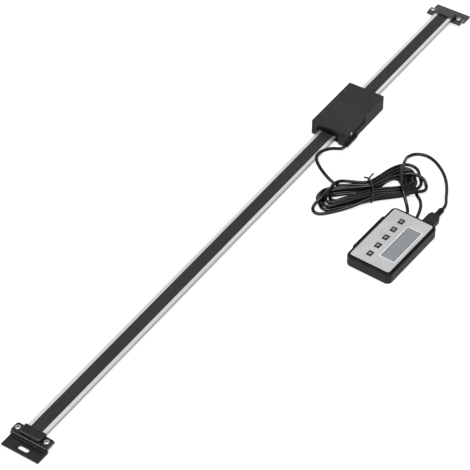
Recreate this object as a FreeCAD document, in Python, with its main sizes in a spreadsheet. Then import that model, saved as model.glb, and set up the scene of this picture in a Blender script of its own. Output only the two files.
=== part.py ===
import FreeCAD, Part
import math
import os
import Sketcher

# Digital linear scale: an aluminium beam on two end brackets, a reader that slides along it,
# and a remote display on a tied cable.
# Millimetres. X runs along the beam, Y across it, Z up. The origin lies on the mounting plane,
# midway between the two bracket slots.

Vector = FreeCAD.Vector
X_AXIS = Vector(1, 0, 0)
Y_AXIS = Vector(0, 1, 0)
Z_AXIS = Vector(0, 0, 1)

# Driving dimensions: alias, value, meaning.
SIZES = [
    ("overall_length", 1000.0, "foot edge to foot edge"),
    ("beam_width", 26.4, "beam across its top"),
    ("beam_thickness", 5.0, "beam depth"),
    ("beam_height", 7.5, "underside of the beam above the mounting plane"),
    ("beam_edge", 0.4, "chamfer along the beam's edges"),
    ("channel_width", 16.6, "channel in the top of the beam"),
    ("channel_depth", 1.4, "depth of that channel"),
    ("strip_clearance", 0.1, "strip to channel wall"),
    ("tape_thickness", 0.8, "coded tape"),
    ("cover_thickness", 0.4, "cover strip over the tape"),
    ("bracket_width", 53.0, "brackets and clamp ears across the beam"),
    ("bracket_sheet", 2.0, "bracket sheet"),
    ("foot_depth", 17.6, "slotted foot, edge to web"),
    ("seat_depth", 14.7, "raised seat under the beam"),
    ("bend_radius", 0.6, "inside bend radius of the brackets"),
    ("foot_corner", 0.8, "rounded foot corners"),
    ("slot_length", 14.5, "foot slot, end to end"),
    ("slot_width", 5.5, "foot slot, across"),
    ("slot_inset", 8.1, "slot centre from the foot edge"),
    ("clamp_sheet", 1.8, "clamp sheet"),
    ("clamp_setback", 1.6, "clamp back from the bracket web"),
    ("clamp_clearance", 0.2, "clamp to the beam's sides and end"),
    ("clamp_bend", 1.8, "rounded top edges of the clamp's crown"),
    ("crown_corner", 2.6, "upright corners of the crown's closed end"),
    ("clamp_corner", 3.0, "rounded ear corners"),
    ("clamp_screw_spacing", 40.9, "clamp screws, centre to centre"),
    ("clamp_screw_diameter", 4.0, "clamp screw shank"),
    ("clamp_screw_length", 8.0, "clamp screw under its head"),
    ("clamp_head_diameter", 7.2, "clamp screw head"),
    ("clamp_head_height", 2.4, "clamp screw head"),
    ("screw_clearance", 0.15, "shank to hole, on the radius"),
    ("nut_across", 7.0, "nut across its flats"),
    ("nut_height", 3.2, "nut"),
    ("reader_position", 206.25, "middle of the reader along the beam"),
    ("reader_length", 96.6, "reader along the beam"),
    ("reader_left", 24.95, "reader's plain side from the beam's middle"),
    ("reader_right", 29.2, "reader's cable side from the beam's middle"),
    ("reader_low", 2.0, "reader's underside above the mounting plane"),
    ("reader_above", 11.5, "reader's top above the beam"),
    ("housing_wall", 2.2, "housing walls and roof"),
    ("cable_wall", 4.8, "thick wall on the cable side"),
    ("housing_corner", 1.4, "upright corners of the housing"),
    ("housing_edge", 1.0, "top edge of the housing"),
    ("mouth_side", 3.6, "mouth past each side of the beam"),
    ("mouth_rise", 7.5, "mouth above the beam"),
    ("mouth_chamfer", 4.0, "sloped top corners of the mouth"),
    ("post_size", 6.5, "screw posts along the beam"),
    ("notch_length", 25.0, "cable notch along the reader"),
    ("notch_depth", 3.6, "cable notch into the side"),
    ("notch_height", 8.0, "cable notch above the underside"),
    ("pocket_start", 2.1, "clamp pocket from the near end"),
    ("pocket_length", 45.9, "clamp pocket along the reader"),
    ("pocket_depth", 3.0, "clamp pocket into the side"),
    ("pocket_low", 9.4, "clamp pocket's foot above the underside"),
    ("pocket_height", 10.1, "clamp pocket"),
    ("plate_clearance", 0.2, "cover plates to their seats"),
    ("cable_plate_thickness", 1.4, "cable clamp plate"),
    ("cable_screw_offset", 13.2, "cable clamp screw from the near end"),
    ("small_shank_diameter", 2.6, "small screws"),
    ("small_head_diameter", 4.6, "small screw heads"),
    ("small_head_height", 1.3, "small screw heads"),
    ("small_screw_length", 9.0, "housing screws under their heads"),
    ("small_corner", 0.5, "corners of small plates and bars"),
    ("cable_screw_length", 3.0, "cable clamp screw under its head"),
    ("base_thickness", 2.4, "reader base plate"),
    ("mount_pitch", 50.0, "tapped holes along the reader"),
    ("mount_span", 40.0, "tapped holes across the reader"),
    ("mount_core_diameter", 3.3, "core of the tapped holes"),
    ("mount_boss_height", 5.0, "bosses above the base plate"),
    ("running_gap", 0.3, "reader's slides to the beam"),
    ("guide_thickness", 2.4, "side guides"),
    ("glide_length", 14.0, "lower glide pads"),
    ("glide_width", 18.0, "lower glide pads across"),
    ("sensor_gap", 0.5, "sensor board above the beam"),
    ("sensor_width", 16.0, "sensor board"),
    ("board_thickness", 1.2, "circuit boards"),
    ("carrier_thickness", 2.6, "sensor carrier over the board"),
    ("carrier_window", 38.0, "window in the carrier"),
    ("carrier_rail", 3.0, "carrier beside its window and past the board's ends"),
    ("chip_size", 10.0, "sensor chip"),
    ("chip_height", 1.6, "sensor chip"),
    ("leaf_thickness", 0.4, "leaf spring"),
    ("leaf_width", 8.0, "leaf spring"),
    ("leaf_foot", 7.0, "flat feet of the leaf spring"),
    ("leaf_crest", 16.0, "flat crest of the leaf spring"),
    ("wiper_thickness", 2.5, "wipers along the beam"),
    ("wiper_slit", 0.35, "wiper slit round the beam"),
    ("wiper_setback", 0.4, "wiper's lip back from the reader's end"),
    ("cable_diameter", 4.5, "cable"),
    ("cable_lead", 7.5, "straight cable out of the gland and the boot"),
    ("gland_diameter", 7.0, "gland's rings"),
    ("gland_core", 5.8, "gland between its rings"),
    ("gland_out", 0.2, "gland's axis outside the reader's side"),
    ("gland_rise", 4.1, "gland's axis above the reader's underside"),
    ("display_x", 22.3, "middle of the display"),
    ("display_y", -178.45, "middle of the display"),
    ("display_turn", -2.4, "display turned about Z, in degrees"),
    ("display_length", 111.2, "display case"),
    ("display_width", 65.8, "display case"),
    ("case_wall", 2.0, "case walls"),
    ("case_floor", 1.8, "case floor and battery cover"),
    ("case_roof", 2.0, "case under the fascia"),
    ("case_corner", 7.4, "upright corners of the case"),
    ("case_top_edge", 3.0, "rounded top edge of the case"),
    ("case_foot_edge", 3.5, "rounded bottom edge of the case"),
    ("parting_height", 9.0, "joint between the case halves"),
    ("fascia_margin", 4.2, "fascia in from the case sides"),
    ("fascia_thickness", 0.5, "fascia plate"),
    ("fascia_corner", 3.0, "corners of the fascia"),
    ("fit_clearance", 0.15, "small plates to their seats"),
    ("lcd_length", 63.2, "open window in the fascia"),
    ("lcd_width", 20.2, "open window in the fascia"),
    ("lcd_offset", 13.65, "window from the display's middle"),
    ("lcd_border", 1.6, "glass past the open window"),
    ("lens_thickness", 0.8, "clear window"),
    ("lcd_thickness", 1.8, "display glass"),
    ("zebra_height", 1.0, "rubber connectors"),
    ("zebra_width", 2.0, "rubber connectors"),
    ("board_margin", 2.4, "display board to the case walls"),
    ("column_inset_x", 6.95, "case screws from the end walls"),
    ("column_inset_y", 3.75, "case screws from the side walls"),
    ("column_diameter", 5.6, "columns round the case screws"),
    ("case_screw_recess", 0.5, "case screw heads above the floor"),
    ("key_margin", 20.0, "end keys from the case ends"),
    ("key_offset", 8.85, "keys from the display's middle"),
    ("key_length", 9.0, "keys along the display"),
    ("key_width", 7.0, "keys across the display"),
    ("key_proud", 0.3, "keys above the fascia"),
    ("key_clearance", 0.2, "keys to their openings"),
    ("key_corner", 0.9, "corners of the keys"),
    ("key_flange", 0.9, "flange round the foot of a key"),
    ("key_seat_gap", 0.1, "key flange under the case roof"),
    ("key_travel", 0.6, "key stroke"),
    ("dome_height", 0.3, "switch domes"),
    ("dome_diameter", 6.0, "switch domes"),
    ("battery_length", 44.5, "cells"),
    ("battery_diameter", 10.2, "cells"),
    ("battery_pitch", 11.2, "cells side by side"),
    ("battery_x", -0.8, "middle of the battery bay"),
    ("battery_first", 8.2, "first cell from the display's middle"),
    ("battery_room", 0.4, "cells to the board above them"),
    ("contact_thickness", 0.4, "battery contacts"),
    ("contact_width", 8.0, "battery contacts"),
    ("bay_wall", 1.2, "battery bay walls"),
    ("cover_length", 68.0, "battery cover along the display"),
    ("cover_ledge", 2.6, "battery cover's upright edge past the case side"),
    ("cover_rise", 15.2, "battery cover's upright edge above the floor"),
    ("cover_edge", 1.0, "rounded edges of the battery cover"),
    ("cover_gap", 0.2, "battery cover to its opening"),
    ("cover_top_gap", 0.4, "battery cover under the upper case wall"),
    ("plug_y", -15.35, "plug from the display's middle"),
    ("plug_z", 8.2, "plug's axis above the floor"),
    ("plug_length", 23.45, "plug grip"),
    ("plug_width", 16.0, "plug grip"),
    ("plug_depth", 10.4, "plug grip"),
    ("plug_waist", 11.5, "plug grip across its rear"),
    ("plug_taper", 5.4, "tapered rear of the plug grip"),
    ("plug_round", 1.5, "plug grip's edges"),
    ("plug_gap", 0.25, "plug grip to the case"),
    ("boot_length", 15.0, "ribbed boot behind the plug"),
    ("boot_diameter", 8.0, "boot's rings"),
    ("boot_core", 6.2, "boot between its rings"),
    ("shell_width", 8.0, "plug's metal shell"),
    ("shell_height", 3.6, "plug's metal shell"),
    ("shell_reach", 10.0, "plug's metal shell inside the case"),
    ("socket_length", 12.0, "socket"),
    ("socket_wall", 0.6, "socket's sheet"),
    ("hank_x", 96.5, "middle of the hank"),
    ("hank_y", -101.9, "middle of the hank"),
    ("hank_turn", -39.6, "hank turned about Z, in degrees"),
    ("hank_height", 11.0, "hank above the floor"),
    ("hank_corner", 9.0, "rounded outline of the hank"),
    ("hank_edge", 3.0, "top and bottom edges of the hank"),
    ("tie_offset", 4.0, "tie from the hank's middle"),
    ("tie_width", 4.0, "tie along the hank"),
    ("tie_thickness", 0.9, "tie"),
    ("tie_clearance", 0.4, "tie to the hank"),
    ("tie_half", 17.4, "half of the hank's waist inside the tie"),
    ("tie_tail", 10.0, "twisted tails of the tie"),
    ("tie_wire", 1.6, "twisted tails of the tie, across"),
    ("overcut", 1.0, "cutting tools past the faces that they open"),
]

# Counts.
KEY_COUNT = 5
CELL_COUNT = 2
RING_COUNT = 4

# Proportions of small standard forms.
RECESS_REACH = 0.28  # cross recess from the middle of a screw head, by the head's diameter
RECESS_DEPTH = 0.5  # cross recess, by the head's height
HEAD_ROUND = 0.6  # rounded rim of a screw head, by its height
RING_SHARE = 0.6  # ring on a sleeve, by the rings' pitch
ARC_SHARE = 0.45  # arc of a cord, by the shorter run beside it

# Tolerances of the checks in this file.
SAME_LENGTH = 1e-4
SAME_VOLUME = 0.01

# Cable from the gland to the hank: its points after the gland's straight lead.
READER_RUN = [
    (143.5, -29.6, 10.2),
    (136.5, -26.2, 15.6),
    (128.0, -20.8, 19.2),
    (117.0, -16.8, 20.2),
    (106.0, -15.6, 20.2),
    (96.5, -19.5, 19.2),
    (89.0, -28.5, 17.6),
    (82.5, -40.0, 16.2),
    (78.5, -51.0, 14.8),
    (78.2, -59.6, 11.4),
    (80.6, -66.6, 7.6),
    (83.6, -72.4, 5.0),
]

# Cable from the hank to the boot: its points before the boot's straight lead.
DISPLAY_RUN = [
    (132.6, -145.2, 2.4),
    (126.8, -153.6, 2.4),
    (119.9, -162.0, 2.4),
    (111.8, -168.6, 2.4),
    (102.4, -173.0, 2.4),
    (94.8, -176.6, 2.4),
    (87.9, -177.2, 2.4),
    (83.2, -172.3, 2.4),
    (83.2, -165.4, 2.4),
    (88.0, -160.6, 2.4),
    (93.6, -159.6, 2.5),
    (97.5, -156.6, 4.6),
    (102.8, -150.0, 11.5),
    (110.8, -140.7, 15.0),
    (118.4, -134.9, 17.6),
    (128.6, -129.6, 17.75),
    (140.1, -124.4, 17.75),
    (152.4, -119.7, 17.4),
    (164.2, -115.2, 14.6),
    (173.7, -111.5, 9.4),
    (182.2, -108.9, 4.6),
    (189.4, -109.7, 2.8),
    (196.0, -113.9, 2.4),
    (200.4, -120.8, 2.4),
    (201.0, -130.0, 2.4),
    (197.6, -141.5, 2.4),
    (190.4, -154.2, 2.4),
    (180.8, -165.2, 2.4),
    (169.4, -174.4, 2.4),
    (156.8, -182.0, 2.6),
    (144.4, -188.0, 3.6),
    (133.4, -194.0, 6.0),
]

# Outline of the tied hank in its own frame, along and across it.
HANK_OUTLINE = [
    (76.0, -8.0),
    (77.0, 18.0),
    (62.0, 33.5),
    (36.0, 27.0),
    (4.0, 16.6),
    (-34.0, 24.0),
    (-62.0, 20.0),
    (-80.0, 4.0),
    (-80.0, -11.0),
    (-64.0, -19.5),
    (-34.0, -18.5),
    (4.0, -16.6),
    (40.0, -22.0),
    (64.0, -21.0),
]


class Size:
    """A length that knows its number and the sheet expression that gives it."""

    def __init__(self, value, text):
        self.value = float(value)
        self.text = text

    def __add__(self, other):
        other = as_size(other)
        return Size(self.value + other.value, f"({self.text} + {other.text})")

    def __radd__(self, other):
        return as_size(other) + self

    def __sub__(self, other):
        other = as_size(other)
        return Size(self.value - other.value, f"({self.text} - {other.text})")

    def __rsub__(self, other):
        return as_size(other) - self

    def __mul__(self, other):
        other = as_size(other)
        return Size(self.value * other.value, f"({self.text} * {other.text})")

    def __rmul__(self, other):
        return as_size(other) * self

    def __truediv__(self, other):
        other = as_size(other)
        return Size(self.value / other.value, f"({self.text} / {other.text})")

    def __neg__(self):
        return self * -1.0


def as_size(value):
    """Give a plain number the form of a size."""
    if isinstance(value, Size):
        return value
    return Size(value, f"({float(value)!r})")


class Sheet:
    """The spreadsheet of driving dimensions, read by alias."""

    def __init__(self, doc):
        self.table = doc.addObject("Spreadsheet::Sheet", "Sizes")
        for row, (alias, value, meaning) in enumerate(SIZES, 1):
            self.table.set(f"A{row}", alias)
            self.table.set(f"B{row}", str(value))
            self.table.setAlias(f"B{row}", alias)
            self.table.set(f"C{row}", meaning)
        doc.recompute()

    def __getattr__(self, alias):
        return Size(self.table.get(alias), f"Sizes.{alias}")


doc = FreeCAD.newDocument("LinearScale")
s = Sheet(doc)
pieces = {}

# Levels and places that several pieces share.
seat_top = s.beam_height
beam_top = seat_top + s.beam_thickness
beam_half_width = s.beam_width / 2
channel_floor = beam_top - s.channel_depth
web_x = s.overall_length / 2 - s.foot_depth
clamp_end_x = web_x - s.clamp_setback
beam_half_length = clamp_end_x - s.clamp_sheet - s.clamp_clearance
clamp_screw_x = web_x - s.seat_depth / 2
ear_top = seat_top + s.clamp_sheet

reader_half = s.reader_length / 2
base_top = s.reader_low + s.base_thickness
reader_high = beam_top + s.reader_above
roof_under = reader_high - s.housing_wall
cavity_half = reader_half - s.housing_wall
cavity_left = s.reader_left - s.housing_wall
cavity_right = s.reader_right - s.cable_wall
board_low = beam_top + s.sensor_gap
board_top = board_low + s.board_thickness
carrier_top = board_top + s.carrier_thickness
gland_y = -(s.reader_right + s.gland_out)
gland_z = s.reader_low + s.gland_rise
guide_outside = beam_half_width + s.running_gap + s.guide_thickness
wiper_outside = cavity_half - s.plate_clearance
wiper_inside = wiper_outside - s.wiper_thickness
guide_half = wiper_inside - s.running_gap
carrier_half = guide_half - s.running_gap
sensor_half = carrier_half - s.carrier_rail
mount_left = (guide_outside + cavity_left) / 2
mount_right = s.mount_span - mount_left

case_half_length = s.display_length / 2
case_half_width = s.display_width / 2
battery_low = s.case_floor + s.running_gap
display_board_low = battery_low + s.battery_diameter + s.battery_room
display_board_top = display_board_low + s.board_thickness
lcd_low = display_board_top + s.zebra_height
lens_low = lcd_low + s.lcd_thickness
fascia_low = lens_low + s.lens_thickness
display_height = fascia_low + s.fascia_thickness
roof_low = fascia_low - s.case_roof
cavity_half_length = case_half_length - s.case_wall
cavity_half_width = case_half_width - s.case_wall
past = s.overcut


def bind(item, prop, size):
    """Tie one property of an object to the sheet."""
    item.setExpression(prop, as_size(size).text)


def box(x0, x1, y0, y1, z0, z1):
    """Block between two corners."""
    item = doc.addObject("Part::Box", "Block")
    bind(item, "Length", as_size(x1) - x0)
    bind(item, "Width", as_size(y1) - y0)
    bind(item, "Height", as_size(z1) - z0)
    bind(item, "Placement.Base.x", x0)
    bind(item, "Placement.Base.y", y0)
    bind(item, "Placement.Base.z", z0)
    return item


ROD_TURNS = {
    "x": FreeCAD.Rotation(Y_AXIS, 90),
    "y": FreeCAD.Rotation(X_AXIS, -90),
    "z": FreeCAD.Rotation(),
}


def rod(axis, diameter, length, x, y, z):
    """Round bar that starts at a point and runs in the positive direction of an axis."""
    item = doc.addObject("Part::Cylinder", "Rod")
    item.Placement = FreeCAD.Placement(Vector(), ROD_TURNS[axis])
    bind(item, "Radius", as_size(diameter) / 2)
    bind(item, "Height", length)
    bind(item, "Placement.Base.x", x)
    bind(item, "Placement.Base.y", y)
    bind(item, "Placement.Base.z", z)
    return item


def fuse(*solids):
    """Join solids into one."""
    item = doc.addObject("Part::MultiFuse", "Joined")
    item.Shapes = list(solids)
    item.Refine = True
    return item


def cut(base, *tools):
    """Take tools away from a solid."""
    item = doc.addObject("Part::Cut", "Cut")
    item.Base = base
    item.Tool = tools[0] if len(tools) == 1 else fuse(*tools)
    return item


def group(solids):
    """Keep like solids apart in one piece."""
    item = doc.addObject("Part::Compound", "Group")
    item.Links = list(solids)
    return item


def prism(plane, outline, start, length):
    """Closed outline on a plane of its own body, padded from a start height along the plane's normal."""
    body = doc.addObject("PartDesign::Body", "Profile")
    sketch = body.newObject("Sketcher::SketchObject", "Outline")
    support = next(item for item in body.Origin.OriginFeatures if item.Role == plane)
    sketch.AttachmentSupport = [(support, "")]
    sketch.MapMode = "FlatFace"
    corners = [(as_size(a), as_size(b)) for a, b in outline]
    count = len(corners)
    for index in range(count):
        first = corners[index]
        second = corners[(index + 1) % count]
        ends = [Vector(a.value, b.value, 0) for a, b in (first, second)]
        sketch.addGeometry(Part.LineSegment(*ends), False)
    for index in range(count):
        sketch.addConstraint(Sketcher.Constraint("Coincident", index, 2, (index + 1) % count, 1))
    for index, corner in enumerate(corners):
        for kind, size in zip(("DistanceX", "DistanceY"), corner):
            number = sketch.addConstraint(Sketcher.Constraint(kind, index, 1, size.value))
            bind(sketch, f"Constraints[{number}]", size)
    bind(sketch, "AttachmentOffset.Base.z", start)
    pad = body.newObject("PartDesign::Pad", "Pad")
    pad.Profile = sketch
    bind(pad, "Length", length)
    doc.recompute()
    return body


def rectangle(x0, x1, y0, y1):
    """Corners of a rectangle."""
    return [(x0, y0), (x1, y0), (x1, y1), (x0, y1)]


def near(first, second):
    """Tell whether two lengths agree."""
    return abs(as_size(first).value - as_size(second).value) < SAME_LENGTH


def is_upright(edge):
    """Tell whether an edge is a straight line along Z."""
    ends = [vertex.Point for vertex in edge.Vertexes]
    return len(ends) == 2 and near(ends[0].x, ends[1].x) and near(ends[0].y, ends[1].y)


def is_level(edge, height):
    """Tell whether an edge lies all at one height."""
    return near(edge.BoundBox.ZMin, height) and near(edge.BoundBox.ZMax, height)


def round_off(body, radius, wanted):
    """Fillet the edges of a body that a test picks out."""
    base = body.Tip
    names = [f"Edge{index}" for index, edge in enumerate(base.Shape.Edges, 1) if wanted(edge)]
    fillet = body.newObject("PartDesign::Fillet", "Round")
    fillet.Base = (base, names)
    bind(fillet, "Radius", radius)
    doc.recompute()
    return body


def slab(x0, x1, y0, y1, z0, z1, corner):
    """Flat block with rounded upright corners."""
    body = prism("XY_Plane", rectangle(x0, x1, y0, y1), z0, as_size(z1) - z0)
    return round_off(body, corner, is_upright)


def piece(item, name, place=None):
    """Name a finished piece, set it in its frame and keep it for export."""
    item.Label = name
    if place is not None:
        place(item)
    pieces[name] = item
    return item


def on_reader(item):
    """Set a piece in the reader's frame."""
    bind(item, "Placement.Base.x", s.reader_position)


def set_turned(item, x, y, turn):
    """Set a piece in a frame that stands on the floor, turned about Z."""
    item.Placement = FreeCAD.Placement(Vector(), FreeCAD.Rotation(Z_AXIS, turn.value))
    bind(item, "Placement.Rotation.Angle", turn)
    bind(item, "Placement.Base.x", x)
    bind(item, "Placement.Base.y", y)


def on_display(item):
    """Set a piece in the display's frame."""
    set_turned(item, s.display_x, s.display_y, s.display_turn)


def on_hank(item):
    """Set a piece in the hank's frame."""
    set_turned(item, s.hank_x, s.hank_y, s.hank_turn)


def pan_screw(shank, length, head, head_height, x, y, seat):
    """Cross-recess pan head screw that points down from its seat."""
    cap = rod("z", head, head_height, x, y, seat)
    stem = rod("z", shank, length, x, y, as_size(seat) - length)
    blade = head_height / 3
    reach = head * RECESS_REACH
    top = as_size(seat) + head_height
    low = top - head_height * RECESS_DEPTH
    along = box(x - reach, x + reach, y - blade / 2, y + blade / 2, low, top + past)
    across = box(x - blade / 2, x + blade / 2, y - reach, y + reach, low, top + past)
    doc.recompute()
    domed = doc.addObject("Part::Fillet", "Domed")
    domed.Base = cap
    rim = head_height.value * HEAD_ROUND
    domed.Edges = [(index, rim, rim) for index, edge in enumerate(cap.Shape.Edges, 1)
                   if is_level(edge, top)]
    return fuse(cut(domed, along, across), stem)


def ringed_sleeve(length, ring, core, x, y, z):
    """Moulded sleeve along X: a core with evenly spaced rings."""
    pitch = length / RING_COUNT
    rings = [rod("x", ring, pitch * RING_SHARE, as_size(x) + pitch * index, y, z)
             for index in range(RING_COUNT)]
    return fuse(rod("x", core, length, x, y, z), *rings)


# Beam, tape and cover strip.

def build_beam():
    """Extruded beam with a channel along its top, and the two strips that lie in the channel."""
    edge = s.beam_edge
    wide = beam_half_width
    slot = s.channel_width / 2
    outline = [
        (-wide + edge, seat_top), (wide - edge, seat_top), (wide, seat_top + edge), (wide, beam_top - edge),
        (wide - edge, beam_top), (slot, beam_top), (slot, channel_floor), (-slot, channel_floor),
        (-slot, beam_top), (-wide + edge, beam_top), (-wide, beam_top - edge), (-wide, seat_top + edge),
    ]
    piece(prism("YZ_Plane", outline, -beam_half_length, beam_half_length * 2), "beam")
    strip = slot - s.strip_clearance
    tape_top = channel_floor + s.tape_thickness
    ends = (-beam_half_length, beam_half_length)
    piece(box(*ends, -strip, strip, channel_floor, tape_top), "scale_tape")
    piece(box(*ends, -strip, strip, tape_top, tape_top + s.cover_thickness), "cover_strip")


# End brackets, clamps and their fasteners.

def build_bracket(side, name):
    """Stepped sheet bracket with a slotted foot, at the end that side names."""
    foot = s.overall_length / 2 * side
    web = web_x * side
    inner = (web_x - s.bracket_sheet) * side
    end = (web_x - s.seat_depth) * side
    sheet = s.bracket_sheet
    outline = [
        (foot, 0), (inner, 0), (inner, seat_top - sheet), (end, seat_top - sheet),
        (end, seat_top), (web, seat_top), (web, sheet), (foot, sheet),
    ]
    body = prism("XZ_Plane", outline, -s.bracket_width / 2, s.bracket_width)

    def at(edge, x, z):
        return is_level(edge, z) and near(edge.BoundBox.XMin, x) and near(edge.BoundBox.XMax, x)

    round_off(body, s.bend_radius, lambda edge: at(edge, inner, seat_top - sheet) or at(edge, web, sheet))
    round_off(body, s.bend_radius + sheet, lambda edge: at(edge, inner, 0) or at(edge, web, seat_top))
    round_off(body, s.foot_corner, lambda edge: is_upright(edge) and near(edge.BoundBox.XMin, foot))
    slot_x = (s.overall_length / 2 - s.slot_inset) * side
    reach = (s.slot_length - s.slot_width) / 2
    half = s.slot_width / 2
    tools = [box(slot_x - half, slot_x + half, -reach, reach, -past, sheet + past)]
    for y in (-reach, reach):
        tools.append(rod("z", s.slot_width, sheet + past * 2, slot_x, y, -past))
    hole = s.clamp_screw_diameter + s.screw_clearance * 2
    for y in (-s.clamp_screw_spacing / 2, s.clamp_screw_spacing / 2):
        low = seat_top - sheet - past
        tools.append(rod("z", hole, sheet + past * 2, clamp_screw_x * side, y, low))
    piece(cut(body, *tools), f"{name}_bracket")


def build_clamp(side, name):
    """Pressed clamp that holds the beam down: two ears and a crown closed at its outer end."""
    ear = s.bracket_width / 2
    leg = beam_half_width + s.clamp_clearance
    shoulder = leg + s.clamp_sheet
    crown_top = beam_top + s.clamp_sheet
    inner_end = (web_x - s.seat_depth) * side
    outer_end = clamp_end_x * side
    ends = (outer_end, inner_end) if side < 0 else (inner_end, outer_end)

    def stands_at(edge, x):
        return is_upright(edge) and near(edge.BoundBox.XMin, x)

    ears = prism("XY_Plane", rectangle(*ends, -ear, ear), seat_top, s.clamp_sheet)
    round_off(ears, s.clamp_corner, lambda edge: stands_at(edge, inner_end))
    crown = prism("XY_Plane", rectangle(*ends, -shoulder, shoulder), seat_top, crown_top - seat_top)
    round_off(crown, s.crown_corner, lambda edge: stands_at(edge, outer_end))
    round_off(crown, s.clamp_bend, lambda edge: is_level(edge, crown_top)
              and not (near(edge.BoundBox.XMin, inner_end) and near(edge.BoundBox.XMax, inner_end)))
    mouth = inner_end - past * side
    closed = outer_end - s.clamp_sheet * side
    span = (closed, mouth) if side < 0 else (mouth, closed)
    tools = [box(*span, -leg, leg, seat_top - past, beam_top)]
    hole = s.clamp_screw_diameter + s.screw_clearance * 2
    for y in (-s.clamp_screw_spacing / 2, s.clamp_screw_spacing / 2):
        tools.append(rod("z", hole, s.clamp_sheet + past * 2, clamp_screw_x * side, y, seat_top - past))
    piece(cut(fuse(ears, crown), *tools), f"{name}_clamp")


def build_clamp_fasteners(side, name):
    """Two clamp screws and the nuts under the bracket's seat."""
    screws = []
    nuts = []
    nut_low = seat_top - s.bracket_sheet - s.nut_height
    for y in (-s.clamp_screw_spacing / 2, s.clamp_screw_spacing / 2):
        x = clamp_screw_x * side
        screws.append(pan_screw(s.clamp_screw_diameter, s.clamp_screw_length, s.clamp_head_diameter,
                                s.clamp_head_height, x, y, ear_top))
        hexagon = doc.addObject("Part::Prism", "Hexagon")
        hexagon.Polygon = 6
        bind(hexagon, "Circumradius", s.nut_across / math.sqrt(3))
        bind(hexagon, "Height", s.nut_height)
        bind(hexagon, "Placement.Base.x", x)
        bind(hexagon, "Placement.Base.y", y)
        bind(hexagon, "Placement.Base.z", nut_low)
        bore = s.clamp_screw_diameter + s.screw_clearance
        nuts.append(cut(hexagon, rod("z", bore, s.nut_height + past * 2, x, y, nut_low - past)))
    piece(group(screws), f"{name}_clamp_screws")
    piece(group(nuts), f"{name}_clamp_nuts")


# Reader.

small_hole = s.small_shank_diameter + s.screw_clearance * 2
small_sink = s.small_head_diameter + s.screw_clearance * 2
screw_post_x = cavity_half - s.post_size / 2
post_left = beam_half_width + s.mouth_side + s.screw_clearance
housing_screw_spots = [
    (screw_post_x * end, y)
    for end in (-1, 1)
    for y in ((cavity_left + post_left) / 2, -(cavity_right + post_left) / 2)
]


def mouth_outline(low, gap):
    """Outline of the tunnel mouth from a low edge up, smaller by a gap at its sides and top."""
    side = beam_half_width + s.mouth_side - gap
    top = beam_top + s.mouth_rise - gap
    slope = s.mouth_chamfer
    return [(-side, low), (side, low), (side, top - slope), (side - slope, top), (-side + slope, top),
            (-side, top - slope)]


def build_housing():
    """Moulded housing: roof and walls, tunnel mouths, screw posts, cable notch and clamp pocket."""
    shell = prism("XY_Plane", rectangle(-reader_half, reader_half, -s.reader_right, s.reader_left),
                  s.reader_low, reader_high - s.reader_low)
    round_off(shell, s.housing_corner, is_upright)
    round_off(shell, s.housing_edge, lambda edge: is_level(edge, reader_high))
    below = s.reader_low - past
    hollow = box(-cavity_half, cavity_half, -cavity_right, cavity_left, below, roof_under)
    posts = []
    for end in (-1, 1):
        x0 = cavity_half - s.post_size if end > 0 else -cavity_half
        for y0, y1 in ((post_left, cavity_left), (-cavity_right, -post_left)):
            posts.append(box(x0, x0 + s.post_size, y0, y1, base_top, roof_under))
    mouth = prism("YZ_Plane", mouth_outline(below, 0), -reader_half - past, s.reader_length + past * 2)
    outside = -s.reader_right - past
    notch = box(-reader_half - past, -reader_half + s.notch_length, outside,
                -s.reader_right + s.notch_depth, below, s.reader_low + s.notch_height)
    pocket_x = -reader_half + s.pocket_start
    pocket_z = s.reader_low + s.pocket_low
    pocket = box(pocket_x, pocket_x + s.pocket_length, outside, -s.reader_right + s.pocket_depth,
                 pocket_z, pocket_z + s.pocket_height)
    hole_length = s.small_head_height + s.small_screw_length + past
    holes = [rod("z", small_hole, hole_length, x, y, s.reader_low) for x, y in housing_screw_spots]
    holes.append(rod("y", small_hole, s.cable_screw_length, -reader_half + s.cable_screw_offset,
                     -s.reader_right + s.pocket_depth - past, pocket_z + s.pocket_height / 2))
    piece(cut(shell, cut(hollow, *posts), mouth, notch, pocket, *holes), "reader_housing", on_reader)


def build_cable_clamp():
    """Plate in the side pocket that grips the cable inside, its screw, and the gland in the notch."""
    gap = s.plate_clearance
    x0 = -reader_half + s.pocket_start + gap
    x1 = x0 + s.pocket_length - gap * 2
    z0 = s.reader_low + s.pocket_low + gap
    z1 = z0 + s.pocket_height - gap * 2
    y1 = -s.reader_right + s.pocket_depth
    y0 = y1 - s.cable_plate_thickness
    screw_x = -reader_half + s.cable_screw_offset
    screw_z = (z0 + z1) / 2
    hole = rod("y", small_hole, s.cable_plate_thickness + past * 2, screw_x, y0 - past, screw_z)
    piece(cut(box(x0, x1, y0, y1, z0, z1), hole), "cable_clamp", on_reader)
    face = y0 - s.small_head_height
    head = rod("y", s.small_head_diameter, s.small_head_height, screw_x, face, screw_z)
    stem = rod("y", s.small_shank_diameter, s.cable_screw_length, screw_x, y0, screw_z)
    blade = s.small_head_height / 3
    reach = s.small_head_diameter * RECESS_REACH
    front = face - past
    back = face + s.small_head_height * RECESS_DEPTH
    level = box(screw_x - reach, screw_x + reach, front, back, screw_z - blade / 2, screw_z + blade / 2)
    upright = box(screw_x - blade / 2, screw_x + blade / 2, front, back, screw_z - reach, screw_z + reach)
    piece(fuse(cut(head, level, upright), stem), "cable_clamp_screw", on_reader)
    piece(ringed_sleeve(s.notch_length, s.gland_diameter, s.gland_core, -reader_half, gland_y, gland_z),
          "cable_gland", on_reader)


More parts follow.
